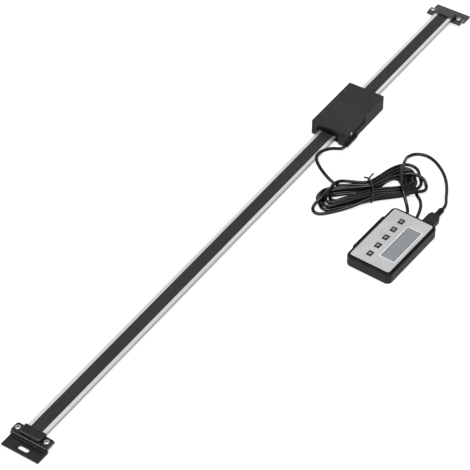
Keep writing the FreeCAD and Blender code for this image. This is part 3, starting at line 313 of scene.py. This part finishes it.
# Moulded ABS with a spark-eroded skin: a soft black that goes grey under wide light, edges rounded in the
# shading and painted lighter, as rub wear and a painted highlight.
READER_PLASTIC = Finish(
    "Moulded ABS, spark-textured black", "#2a2a2a", "#333333", Grain.SPARKED, roughness=0.5, spread=0.06,
    grain_mm=0.7, relief_mm=0.05, patch_mm=18.0, edge_mm=0.8, edge_wear_and_highlight_colour="#5c5c5c", edge_wear_and_highlight_share=0.3,
    sheen=0.06)
# Pressure-cast zinc base: mid grey, with a dull skin.
# Its edges are painted lighter, as rub wear and a painted highlight.
BASE_ALLOY = Finish(
    "Die-cast zinc, tumbled", "#8f9194", "#77797c", Grain.SPRAYED, roughness=0.5, spread=0.1, grain_mm=0.9,
    relief_mm=0.04, edge_mm=0.4, edge_wear_and_highlight_colour="#b4b5b6", edge_wear_and_highlight_share=0.4, metallic=1.0)
# Natural acetal slides: waxy off-white.
SLIDE_PLASTIC = Finish(
    "Machined acetal, natural", "#e4e1d6", "#d8d4c7", Grain.BRUSHED, roughness=0.4, grain_mm=0.3,
    relief_mm=0.01)
# Moulded nitrile wipers: black rubber, painted darker still as shade so that the tunnel mouths look open.
WIPER_RUBBER = Finish(
    "Nitrile rubber, moulded", "#0b0b0b", "#121212", roughness=0.82, relief_mm=0.06, sheen=0.1)
# Glass-epoxy board under green resist: a low weave shows through the gloss.
BOARD_LAMINATE = Finish(
    "Glass-epoxy laminate, green resist", "#1d5a36", "#174a2d", Grain.POLISHED, roughness=0.32,
    grain_mm=0.8, relief_mm=0.012, patch_mm=6.0)
# Transfer-moulded chip package: matt charcoal.
CHIP_PLASTIC = Finish("Epoxy chip package, moulded", "#242526", "#2d2e30", roughness=0.6, grain_mm=0.2)
# Tempered leaf: smooth grey steel.
SPRING_STEEL = Finish(
    "Spring steel, tempered", "#8a8d92", "#777a80", Grain.BRUSHED, roughness=0.28, grain_mm=0.3,
    relief_mm=0.004, metallic=1.0)
# Extruded PVC sheath: black, with a gloss that draws a grey line along every strand.
CABLE_SHEATH = Finish(
    "Extruded PVC sheath, black", "#050505", "#090909", Grain.SPARKED, roughness=0.15, spread=0.04,
    grain_mm=0.6, relief_mm=0.006, patch_mm=30.0, sheen=0.36)
# Plastic-coated twist wire: black and a little duller than the cable.
TIE_PLASTIC = Finish(
    "Vinyl-coated tie wire, black", "#121213", "#1a1a1b", Grain.POLISHED, roughness=0.34, grain_mm=0.4,
    relief_mm=0.01, patch_mm=6.0)
# Moulded ABS case: a finer spark than the reader's; its upright sides are painted dark grey and its rim a
# black line, a painted split of light and shade.
# Its edges are painted a little lighter, as rub wear and a painted highlight.
DISPLAY_PLASTIC = Finish(
    "Moulded ABS, fine matt black", "#0b0b0b", "#111111", Grain.SPARKED, roughness=0.42, spread=0.06,
    grain_mm=0.6, relief_mm=0.04, patch_mm=15.0, edge_mm=0.4, edge_wear_and_highlight_colour="#303030", edge_wear_and_highlight_share=0.2,
    sheen=0.08, flank_shade="#282828", turn=DISPLAY_TURN)
# Overmoulded plug: a slightly paler matt black than the case's rim.
# Its edges are painted lighter, as rub wear and a painted highlight.
PLUG_VINYL = Finish(
    "Overmoulded PVC, matt black", "#202020", "#282828", Grain.SPARKED, roughness=0.42, spread=0.06,
    grain_mm=0.6, relief_mm=0.04, patch_mm=15.0, edge_mm=0.6, edge_wear_and_highlight_colour="#3c3c3c", edge_wear_and_highlight_share=0.3,
    sheen=0.08)
# Silver-printed polycarbonate film: light grey with fine brushing along the display.
FASCIA_FILM = Finish(
    "Polycarbonate fascia film, brushed silver", "#b7b8b8", "#a2a3a4", Grain.BRUSHED, roughness=0.45,
    spread=0.07, grain_mm=0.8, relief_mm=0.015, patch_mm=30.0, metallic=0.25, turn=DISPLAY_TURN)
# White ink round the window.
BORDER_INK = Finish(
    "Screen-printed ink, white", "#f1f1f1", "#e6e6e6", Grain.SPRAYED, roughness=0.55, grain_mm=0.4,
    relief_mm=0.006, patch_mm=8.0)
# Acrylic window: clear, with a thin reflection.
WINDOW_CLEAR = Finish(
    "Cast acrylic, clear", "#dfe3e6", "#d5dade", Grain.POLISHED, roughness=0.08, spread=0.03, grain_mm=2.0,
    relief_mm=0.001, alpha=0.16)
# Unlit liquid crystal over its reflector: a flat blue grey.
LCD_GREY = Finish(
    "Reflective liquid crystal, unlit", "#676b70", "#5f6368", Grain.POLISHED, roughness=0.3, grain_mm=0.5,
    relief_mm=0.002, patch_mm=20.0, turn=DISPLAY_TURN)
# Layered silicone connector: matt grey.
ZEBRA_RUBBER = Finish(
    "Silicone zebra strip", "#5d5a58", "#2d2b2a", Grain.BRUSHED, roughness=0.75, grain_mm=0.2)
# Moulded silicone keys: matt black.
KEY_RUBBER = Finish(
    "Moulded silicone, black", "#0e0e0e", "#161616", Grain.SPARKED, roughness=0.6, grain_mm=0.4,
    relief_mm=0.02, sheen=0.25)
# Printed key centres: a mid grey, dull from fingers.
KEY_INK = Finish(
    "Pad-printed ink, mid grey", "#7c7e80", "#6c6e70", Grain.SPRAYED, roughness=0.5, grain_mm=0.4,
    relief_mm=0.01, patch_mm=4.0)
# Shrunk sleeve on the cells: glossy dark green-grey.
CELL_LABEL = Finish(
    "Shrunk PVC sleeve on cells", "#3a4a44", "#33413c", Grain.POLISHED, roughness=0.25, grain_mm=1.0,
    relief_mm=0.01)
# Nickel-plated contacts: warm and bright.
CONTACT_PLATE = Finish(
    "Nickel-plated steel, pressed", "#c9c4b8", "#b3aea2", Grain.BRUSHED, roughness=0.25, grain_mm=0.3,
    relief_mm=0.006, metallic=1.0)
# Lit table: a white so bright that only a faint shade is left under the scale.
TABLE_ACRYLIC = Finish(
    "Opal acrylic table, lit from below", "#9a9a9a", "#959595", Grain.SPRAYED, roughness=0.9,
    grain_mm=200.0, relief_mm=0.0, patch_mm=400.0, glow=0.78)

NODE_FINISHES: dict[Finish, tuple[str, ...]] = {
    BEAM_ALUMINIUM: ("beam",),
    STRIP_DARK: ("cover_strip",),
    TAPE_RUBBER: ("scale_tape",),
    BRACKET_PAINT: ("near_bracket", "far_bracket", "near_clamp", "far_clamp"),
    SCREW_STEEL: ("near_clamp_screws", "far_clamp_screws", "near_clamp_nuts", "far_clamp_nuts",
                  "cable_clamp_screw", "housing_screws", "case_screws"),
    READER_PLASTIC: ("reader_housing", "cable_clamp", "sensor_carrier"),
    BASE_ALLOY: ("reader_base",),
    SLIDE_PLASTIC: ("left_guide", "right_guide", "lower_glides"),
    WIPER_RUBBER: ("near_wiper", "far_wiper"),
    BOARD_LAMINATE: ("sensor_board", "display_board"),
    CHIP_PLASTIC: ("sensor_chip",),
    SPRING_STEEL: ("leaf_spring",),
    CABLE_SHEATH: ("cable_gland", "plug_boot"),
    DISPLAY_PLASTIC: ("display_front_case", "display_back_case", "battery_cover", "socket"),
    PLUG_VINYL: ("plug_grip",),
    FASCIA_FILM: ("fascia_plate",),
    WINDOW_CLEAR: ("lcd_window",),
    LCD_GREY: ("lcd_glass",),
    ZEBRA_RUBBER: ("zebra_strips",),
    KEY_RUBBER: ("key_1", "key_2", "key_3", "key_4", "key_5"),
    CELL_LABEL: ("batteries",),
    CONTACT_PLATE: ("battery_contacts", "switch_domes", "plug_shell"),
}


class Wardrobe:
    """Makes each finish once and puts it on pieces."""

    def __init__(self) -> None:
        """Starts with no material made."""
        self.made: dict[Finish, bpy.types.Material] = {}

    def material(self, finish: Finish) -> bpy.types.Material:
        """Gives the finish's material.

        Args:
            finish: The finish.

        Returns:
            Its material, made the first time that it is asked for.
        """
        if finish not in self.made:
            self.made[finish] = finish.material()
        return self.made[finish]

    def dress(self, piece: bpy.types.Object, finish: Finish) -> None:
        """Puts a finish on a new piece or in a node's slots.

        Args:
            piece: The piece or the node's object.
            finish: The finish.
        """
        if not piece.material_slots:
            piece.data.materials.append(None)
        for slot in piece.material_slots:
            slot.material = self.material(finish)

    def dress_nodes(self) -> None:
        """Puts every node's finish on it."""
        for finish, nodes in NODE_FINISHES.items():
            for node in nodes:
                self.dress(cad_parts[node], finish)
            log.info("%s on %s", finish.name, ", ".join(nodes))


def add_piece(name: str, data: bpy.types.ID, body: str) -> bpy.types.Object:
    """Links a piece's mesh or curve into the scene on its body.

    Args:
        name: The piece's name.
        data: Its mesh or curve, placed in the shared frame.
        body: The body that it rides on.

    Returns:
        The piece's object.
    """
    piece = bpy.data.objects.new(name, data)
    bpy.context.scene.collection.objects.link(piece)
    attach(piece, body)
    log.info("%s rides on %s", name, body)
    return piece


def add_cord_curve(name: str, points: Sequence[Point], diameter: float) -> bpy.types.Curve:
    """Makes a round cord along one smooth spline.

    Args:
        name: The curve's name.
        points: The spline's control points, in millimetres.
        diameter: The cord's diameter, in millimetres.

    Returns:
        The curve.
    """
    curve = bpy.data.curves.new(name, "CURVE")
    curve.dimensions = "3D"
    # With a depth of one, the points' own radii give the cord's size.
    curve.bevel_depth = 1.0
    curve.bevel_resolution = CORD_ROUND_STEPS
    curve.use_fill_caps = True
    spline = curve.splines.new("NURBS")
    spline.points.add(len(points) - 1)
    for spot, (x, y, z) in zip(spline.points, points):
        spot.co = (x * MM, y * MM, z * MM, 1.0)
        spot.radius = diameter / 2 * MM
    spline.order_u = CORD_ORDER
    spline.use_endpoint_u = True
    spline.resolution_u = CORD_STEPS
    return curve


class Side(Enum):
    """An end of the hank, with the way that it points along it."""

    RIGHT = 1
    LEFT = -1


# The octagon round a corner's arc has points this far from the corner's tip, for a radius of one.
OCTAGON_FAR = math.sqrt(2)
OCTAGON_NEAR = 2 - math.sqrt(2)


@dataclass(frozen=True)
class Fold:
    """One end of a hank's turn, as a loop with two round corners, in millimetres.

    Attributes:
        reach: How far along the hank the end lies from its middle.
        upper: How far across it the strand on the far side lies.
        lower: How far across it the strand on the near side lies.
        corners: The radii of the far and near corners.
        skew: How far the end leans along the hank for each millimetre across it.
        heights: The heights of the upper strand, the upper corner, the lower corner and the lower strand.
    """

    reach: float
    upper: float
    lower: float
    corners: tuple[float, float]
    skew: float
    heights: tuple[float, float, float, float]

    def points(self, side: Side) -> list[Point]:
        """Gives the fold's points, from its upper strand to its lower one.

        Args:
            side: The end of the hank that it is at.

        Returns:
            Six points in the hank's own frame, or eight where the end has a straight stretch.
        """
        middle = (self.upper + self.lower) / 2
        (upper_out, upper_in), (lower_out, lower_in) = [
            (OCTAGON_FAR * corner, OCTAGON_NEAR * corner) for corner in self.corners]
        high, rise, fall, low = self.heights
        spots = [(upper_out, self.upper, high), (upper_in, self.upper, (high + rise) / 2),
                 (0.0, self.upper - upper_in, rise)]
        if upper_out + lower_out < self.upper - self.lower:
            spots += [(0.0, edge, (rise + fall) / 2)
                      for edge in (self.upper - upper_out, self.lower + lower_out)]
        spots += [(0.0, self.lower + lower_in, fall), (lower_in, self.lower, (low + fall) / 2),
                  (lower_out, self.lower, low)]
        return [(self.reach - side.value * back + self.skew * (across - middle), across, height)
                for back, across, height in spots]


# Heights of strands on the floor and of those that lie on them, in millimetres, and folds at one height.
FLOOR = 2.4
SECOND = 7.0
FLAT = (FLOOR, FLOOR, FLOOR, FLOOR)
RAISED = (SECOND, SECOND, SECOND, SECOND)


@dataclass(frozen=True)
class Cable:
    """The signal cable: out of the reader, round a tied hank in seven turns and a half, and on to the plug.

    Sizes are in millimetres. The hank's own frame has its length first and its width second.

    Attributes:
        diameter: The sheath's diameter.
        length: The cable's length; not used.
        hank_place: Where the hank's middle lies in the shared frame.
        hank_turn: The angle of its length, in degrees.
        waist: Where along the hank the strands pass the tie.
        waist_lift: How far the tie under them lifts them.
        easing: Two spots between the waist and a fold, as shares of the way along, across and up.
        tie_diameter: The tie wire's diameter.
        reader_run: The points from the gland to the hank, in the shared frame.
        hank_entry: The points that lead into the first turn.
        hank_exit: The points that lead out of the last turn.
        display_run: The points from the hank to the plug's boot, in the shared frame.
        far_waist: How far across the hank, and how high, each far strand passes the tie.
        near_waist: The same for each near strand.
        right_folds: The turns' right ends.
        left_folds: Their left ends, with none where the stray loop is.
        stray_loop: The one left end that slips out of the hank, and its way back to the waist.
        tie_run: The points of the tie wire, from one tail to the other.
    """

    diameter: float = 4.5
    length: float = 2600.0
    hank_place: tuple[float, float] = (96.5, -101.9)
    hank_turn: float = -39.6
    waist: float = 4.0
    waist_lift: float = 1.5
    easing: tuple[Point, Point] = ((0.34, 0.34, 0.34), (0.70, 0.80, 0.70))
    tie_diameter: float = 2.4
    reader_run: tuple[Point, ...] = (
        (157.95, -29.4, 6.1), (152.0, -29.4, 6.2), (146.2, -29.9, 8.8), (140.2, -28.5, 12.2),
        (132.4, -20.8, 14.8), (121.8, -14.4, 15.2), (111.2, -12.7, 14.9), (102.4, -17.4, 14.4),
        (94.8, -27.2, 13.0), (88.8, -38.4, 11.2), (84.6, -49.8, 8.8), (83.4, -59.4, 7.0))
    hank_entry: tuple[Point, ...] = ((-31.0, 20.6, 6.6), (-21.6, 18.4, 7.0), (-9.0, 13.8, 7.6))
    hank_exit: tuple[Point, ...] = (
        (13.0, 19.4, 3.2), (19.4, 23.8, 2.6), (26.0, 27.8, FLOOR), (35.4, 31.4, FLOOR), (46.0, 32.0, FLOOR),
        (54.8, 28.4, FLOOR), (59.4, 20.6, FLOOR), (60.4, 10.0, FLOOR), (60.4, -2.0, FLOOR),
        (59.4, -12.4, FLOOR))
    display_run: tuple[Point, ...] = (
        (127.2, -154.4, FLOOR), (123.0, -161.6, FLOOR), (115.6, -167.4, FLOOR), (106.8, -171.4, FLOOR),
        (98.6, -173.8, FLOOR), (90.6, -175.8, FLOOR), (84.5, -176.0, FLOOR), (80.4, -171.9, FLOOR),
        (80.4, -166.1, FLOOR), (84.5, -162.0, FLOOR), (90.3, -161.8, FLOOR), (96.2, -159.2, 2.6),
        (101.8, -154.7, 3.6), (107.0, -149.4, 6.8), (112.0, -143.8, 10.6), (118.0, -138.4, 13.4),
        (125.6, -132.4, 14.2), (134.0, -126.6, 14.2), (143.4, -121.4, 14.0), (154.6, -117.0, 13.0),
        (166.0, -112.8, 10.4), (176.0, -109.0, 6.4), (183.1, -107.0, 3.8), (190.0, -108.0, 2.8),
        (196.8, -111.8, FLOOR), (201.2, -119.4, FLOOR), (202.2, -129.4, FLOOR), (198.6, -141.2, FLOOR),
        (190.4, -154.2, FLOOR), (180.8, -165.2, FLOOR), (169.4, -174.4, FLOOR), (156.8, -182.0, 2.6),
        (144.4, -188.0, 3.6), (133.4, -194.0, 6.0), (123.4, -198.1, 8.2), (115.9, -197.8, 8.2))
    far_waist: tuple[tuple[float, float], ...] = (
        (9.3, SECOND), (2.2, 10.9), (14.0, SECOND), (4.6, SECOND), (-0.1, FLOOR), (4.6, FLOOR),
        (9.3, FLOOR), (14.0, FLOOR))
    near_waist: tuple[tuple[float, float], ...] = (
        (-4.8, SECOND), (-14.2, SECOND), (-9.5, SECOND), (-0.1, SECOND), (-4.8, FLOOR), (-9.5, FLOOR),
        (-14.2, FLOOR))
    right_folds: tuple[Fold, ...] = (
        Fold(65.5, 29.5, -10.1, (14.0, 12.0), 0.2, (SECOND, 4.8, 5.6, SECOND)),
        Fold(74.2, 14.0, -19.5, (22.0, 11.0), 0.0, (9.8, 10.6, 5.0, SECOND)),
        Fold(73.0, 36.0, -14.8, (17.0, 16.0), 0.2, (SECOND, 3.6, 5.4, SECOND)),
        Fold(60.5, 24.6, -5.4, (9.0, 8.4), 0.2, (SECOND, 6.8, 6.8, SECOND)),
        Fold(46.0, 18.2, -5.5, (7.0, 7.6), 0.0, FLAT),
        Fold(50.8, 22.6, -11.0, (9.4, 10.0), 0.0, FLAT),
        Fold(55.6, 27.2, -16.2, (13.6, 12.0), 0.0, FLAT))
    left_folds: tuple[Fold | None, ...] = (
        Fold(-60.4, 14.8, -8.3, (11.5, 11.5), 0.0, RAISED),
        None,
        Fold(-65.0, 19.2, -12.9, (14.0, 8.6), 0.0, (SECOND, 6.2, 6.2, SECOND)),
        Fold(-52.2, 9.4, -4.7, (7.05, 7.05), 0.0, (FLOOR, 3.6, 5.8, SECOND)),
        Fold(-57.2, 13.4, -6.1, (9.75, 9.75), 0.0, FLAT),
        Fold(-62.3, 17.6, -10.6, (11.4, 8.4), 0.0, FLAT),
        Fold(-67.5, 21.9, -15.2, (16.4, 9.4), 0.0, FLAT))
    stray_loop: tuple[Point, ...] = (
        (-14.0, -16.8, SECOND), (-30.0, -19.0, 4.6), (-46.0, -19.6, 2.8), (-60.0, -19.6, FLOOR),
        (-70.0, -19.6, FLOOR), (-77.4, -16.6, FLOOR), (-80.0, -10.4, 2.8), (-77.6, -4.6, 4.6),
        (-71.6, -1.4, 8.4), (-63.5, 1.6, 11.2), (-54.5, 7.6, 11.8), (-47.0, 15.0, 11.8),
        (-41.0, 21.6, 11.6), (-33.0, 25.4, 10.8), (-23.0, 24.0, 9.6), (-10.0, 18.6, 8.6))
    tie_run: tuple[Point, ...] = (
        (-0.8, 20.0, 14.0), (1.6, 19.2, 13.4), (3.8, 18.4, 12.6), (5.6, 17.6, 12.0), (5.2, 15.2, 12.6),
        (4.8, 11.6, 14.2), (4.4, 6.6, 15.8), (3.7, 1.2, 15.6), (2.8, -4.8, 13.6), (1.2, -11.0, 12.8),
        (-0.8, -16.2, 10.8), (-2.4, -18.0, 6.2), (-3.2, -16.8, 1.4), (-2.4, -9.0, 1.3), (-0.6, 0.0, 1.3),
        (1.6, 9.0, 1.3), (3.4, 16.4, 1.5), (4.2, 18.4, 5.0), (4.8, 18.0, 9.4), (5.8, 17.8, 12.0),
        (7.4, 18.4, 13.6), (9.6, 19.6, 14.8), (12.6, 21.4, 16.0))

    def on_hank(self, points: Sequence[Point]) -> list[Point]:
        """Moves points from the hank's own frame to the shared one.

        Args:
            points: Points along, across and above the hank.

        Returns:
            The same points in the shared frame.
        """
        turned = Matrix.Rotation(math.radians(self.hank_turn), 4, "Z")
        place = Matrix.Translation((*self.hank_place, 0.0)) @ turned
        return [tuple(place @ Vector(point)) for point in points]

    def lifted(self, spot: tuple[float, float]) -> Point:
        """Gives a waist point, lifted by the tie that passes under it."""
        return self.waist, spot[0], spot[1] + self.waist_lift

    def between(self, waist: Point, end: Point) -> list[Point]:
        """Gives two points that ease a strand from its waist point to the end of a fold."""
        return [tuple(here + (there - here) * share for here, there, share in zip(waist, end, shares))
                for shares in self.easing]

    def hank_turns(self) -> list[Point]:
        """Winds the hank's turns, each out to its right fold and back round its left one or the stray loop.

        Returns:
            The points of every turn, in the hank's own frame.
        """
        points = []
        for turn, (right, left) in enumerate(zip(self.right_folds, self.left_folds)):
            start = self.lifted(self.far_waist[turn])
            back = self.lifted(self.near_waist[turn])
            following = self.lifted(self.far_waist[turn + 1])
            outer = right.points(Side.RIGHT)
            points += [start, *self.between(start, outer[0]), *outer]
            points += [*self.between(back, outer[-1])[::-1], back]
            if left is None:
                points += self.stray_loop
                continue
            inner = left.points(Side.LEFT)[::-1]
            points += [*self.between(back, inner[0]), *inner, *self.between(following, inner[-1])[::-1]]
        return [*points, self.lifted(self.far_waist[-1])]

    def route(self) -> list[Point]:
        """Joins the cable's runs, from the reader's gland to the plug's boot."""
        hank = [*self.hank_entry, *self.hank_turns(), *self.hank_exit]
        return [*self.reader_run, *self.on_hank(hank), *self.display_run]

    def build(self, wardrobe: Wardrobe) -> None:
        """Makes the cable and its tie.

        Args:
            wardrobe: The maker of materials.
        """
        wire = add_cord_curve("hank_tie_wire", self.on_hank(self.tie_run), self.tie_diameter)
        tie = add_piece("hank_tie_wire", wire, "reader")
        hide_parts("hank_tie")
        wardrobe.dress(tie, TIE_PLASTIC)
        sheath = add_cord_curve("cable", self.route(), self.diameter)
        cable = add_piece("cable", sheath, "reader")
        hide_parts("cable_run_reader", "cable_hank", "cable_run_display")
        wardrobe.dress(cable, CABLE_SHEATH)


@dataclass(frozen=True)
class Display:
    """The printed pieces on the display's face, in millimetres and degrees.

    Attributes:
        turn: The angle of the display about the upright.
        keys: The number of keys.
        pad_length: The length of a key's grey centre, along the display.
        pad_width: Its width.
        pad_height: How far it stands above the key.
        pad_round: The radius of its edges.
        border_width: The width of the white line round the window.
        border_height: How far it stands above the fascia.
        window_length: The length of the window, along the display.
        window_width: Its width.
    """

    turn: float = DISPLAY_TURN
    keys: int = 5
    pad_length: float = 4.2
    pad_width: float = 3.4
    pad_height: float = 0.16
    pad_round: float = 0.05
    border_width: float = 1.0
    border_height: float = 0.08
    window_length: float = 63.2
    window_width: float = 20.2

    def placed(self, centre: Vector, top: float, size: Point) -> Matrix:
        """Gives the matrix of a unit shape on the display's face.

        Args:
            centre: The middle of what carries it, in metres.
            top: The height that it stands on, in metres.
            size: Its length, width and height, in millimetres.

        Returns:
            The matrix.
        """
        spot = Matrix.Translation((centre.x, centre.y, top + size[2] / 2 * MM))
        turned = Matrix.Rotation(math.radians(self.turn), 4, "Z")
        return spot @ turned @ Matrix.Diagonal((*[length * MM for length in size], 1.0))

    def build_pad(self, key: str, wardrobe: Wardrobe) -> None:
        """Makes the grey centre of a key.

        Args:
            key: The key's node and body.
            wardrobe: The maker of materials.
        """
        low, high = (Vector(corner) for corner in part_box(key))
        pad = bmesh.new()
        bmesh.ops.create_cube(pad, size=1.0, matrix=self.placed(
            (low + high) / 2, high.z, (self.pad_length, self.pad_width, self.pad_height)))
        bmesh.ops.bevel(pad, geom=pad.edges[:], offset=self.pad_round * MM, offset_type="OFFSET",
                        affect="EDGES", segments=2, profile=0.5, material=-1)
        mesh = bpy.data.meshes.new(f"{key}_pad")
        pad.to_mesh(mesh)
        pad.free()
        wardrobe.dress(add_piece(f"{key}_pad", mesh, key), KEY_INK)

    def build_border(self, wardrobe: Wardrobe) -> None:
        """Makes the white border round the window.

        Args:
            wardrobe: The maker of materials.
        """
        low, high = (Vector(corner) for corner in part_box("lcd_window"))
        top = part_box("fascia_plate")[1][2]
        margin = 2 * self.border_width
        size = (self.window_length + margin, self.window_width + margin, 0.0)
        border = bmesh.new()
        bmesh.ops.create_grid(border, x_segments=1, y_segments=1, size=0.5,
                              matrix=self.placed((low + high) / 2, top, size))
        opening = border.faces[:]
        bmesh.ops.inset_individual(border, faces=opening, thickness=self.border_width * MM)
        bmesh.ops.delete(border, geom=opening, context="FACES")
        raised = bmesh.ops.extrude_face_region(border, geom=border.faces[:])["geom"]
        bmesh.ops.translate(border, vec=(0.0, 0.0, self.border_height * MM),
                            verts=[vert for vert in raised if isinstance(vert, bmesh.types.BMVert)])
        bmesh.ops.recalc_face_normals(border, faces=border.faces[:])
        mesh = bpy.data.meshes.new("lcd_border")
        border.to_mesh(mesh)
        border.free()
        wardrobe.dress(add_piece("lcd_border", mesh, "reader"), BORDER_INK)

    def build(self, wardrobe: Wardrobe) -> None:
        """Makes the key centres and the border.

        Args:
            wardrobe: The maker of materials.
        """
        for number in range(1, self.keys + 1):
            self.build_pad(f"key_{number}", wardrobe)
        self.build_border(wardrobe)


@dataclass(frozen=True)
class Softbox:
    """A square soft light that faces the scale's middle.

    Attributes:
        name: The light's name.
        spot: Where it hangs, in metres.
        size: The length of its sides, in metres.
        power: Its power, in watts.
    """

    name: str
    spot: Point
    size: float
    power: float

    def build(self) -> None:
        """Hangs the light."""
        lamp = bpy.data.lights.new(self.name, "AREA")
        lamp.size = self.size
        lamp.energy = self.power
        hung = bpy.data.objects.new(self.name, lamp)
        hung.location = self.spot
        hung.rotation_euler = (-Vector(self.spot)).to_track_quat("-Z", "Y").to_euler()
        bpy.context.scene.collection.objects.link(hung)


@dataclass(frozen=True)
class Studio:
    """The pale floor, the soft lights and the camera, in metres and radians.

    Attributes:
        floor_size: The length of the floor's sides.
        sky: The strength of the white light from all round.
        softboxes: The lights.
        eye: Where the camera stands.
        yaw: The angle of its view about the upright.
        pitch: How far down it looks.
        lens: Its focal length, in millimetres.
        shift: How far its frame is shifted, across and up.
        sight: How far it sees.
    """

    floor_size: float = 14.0
    sky: float = 0.5
    softboxes: tuple[Softbox, ...] = (
        Softbox("overhead_softbox", (-0.3, -0.2, 2.6), 1.7, 61.0),
        Softbox("left_softbox", (-2.4, 1.15, 1.7), 1.0, 18.0),
        Softbox("back_softbox", (3.0, 1.6, 2.3), 1.6, 6.5))
    eye: Point = (-1.6387, -1.0545, 1.7660)
    yaw: float = 0.589
    pitch: float = 0.75
    lens: float = 157.665
    shift: tuple[float, float] = (-0.00106, 0.00106)
    sight: float = 50.0

    def build_floor(self, wardrobe: Wardrobe) -> None:
        """Lays the floor.

        Args:
            wardrobe: The maker of materials.
        """
        floor = bmesh.new()
        bmesh.ops.create_grid(floor, x_segments=1, y_segments=1, size=self.floor_size / 2)
        mesh = bpy.data.meshes.new("floor")
        floor.to_mesh(mesh)
        floor.free()
        sheet = bpy.data.objects.new("floor", mesh)
        bpy.context.scene.collection.objects.link(sheet)
        wardrobe.dress(sheet, TABLE_ACRYLIC)

    def build_camera(self) -> None:
        """Sets the camera where the photograph was taken from."""
        camera = bpy.data.objects.new("camera", bpy.data.cameras.new("camera"))
        camera.data.lens = self.lens
        camera.data.shift_x, camera.data.shift_y = self.shift
        camera.data.clip_end = self.sight
        level = math.cos(self.pitch)
        ahead = Vector((math.cos(self.yaw) * level, math.sin(self.yaw) * level, -math.sin(self.pitch)))
        camera.location = self.eye
        camera.rotation_euler = ahead.to_track_quat("-Z", "Y").to_euler()
        bpy.context.scene.collection.objects.link(camera)
        bpy.context.scene.camera = camera

    def build(self, wardrobe: Wardrobe) -> None:
        """Lays the floor, lights it and sets the camera.

        Args:
            wardrobe: The maker of materials.
        """
        world = bpy.data.worlds.new("studio")
        world.use_nodes = True
        background = world.node_tree.nodes["Background"]
        background.inputs["Color"].default_value = linear(WHITE)
        background.inputs["Strength"].default_value = self.sky
        bpy.context.scene.world = world
        bpy.context.scene.view_settings.view_transform = "Standard"
        self.build_floor(wardrobe)
        for softbox in self.softboxes:
            softbox.build()
        self.build_camera()


def main() -> None:
    """Builds the studio, the cable and the display's face, and dresses every node."""
    logging.basicConfig(level=logging.INFO, format="%(message)s")
    wardrobe = Wardrobe()
    Studio().build(wardrobe)
    Cable().build(wardrobe)
    Display().build(wardrobe)
    wardrobe.dress_nodes()


if __name__ == "__main__":
    main()
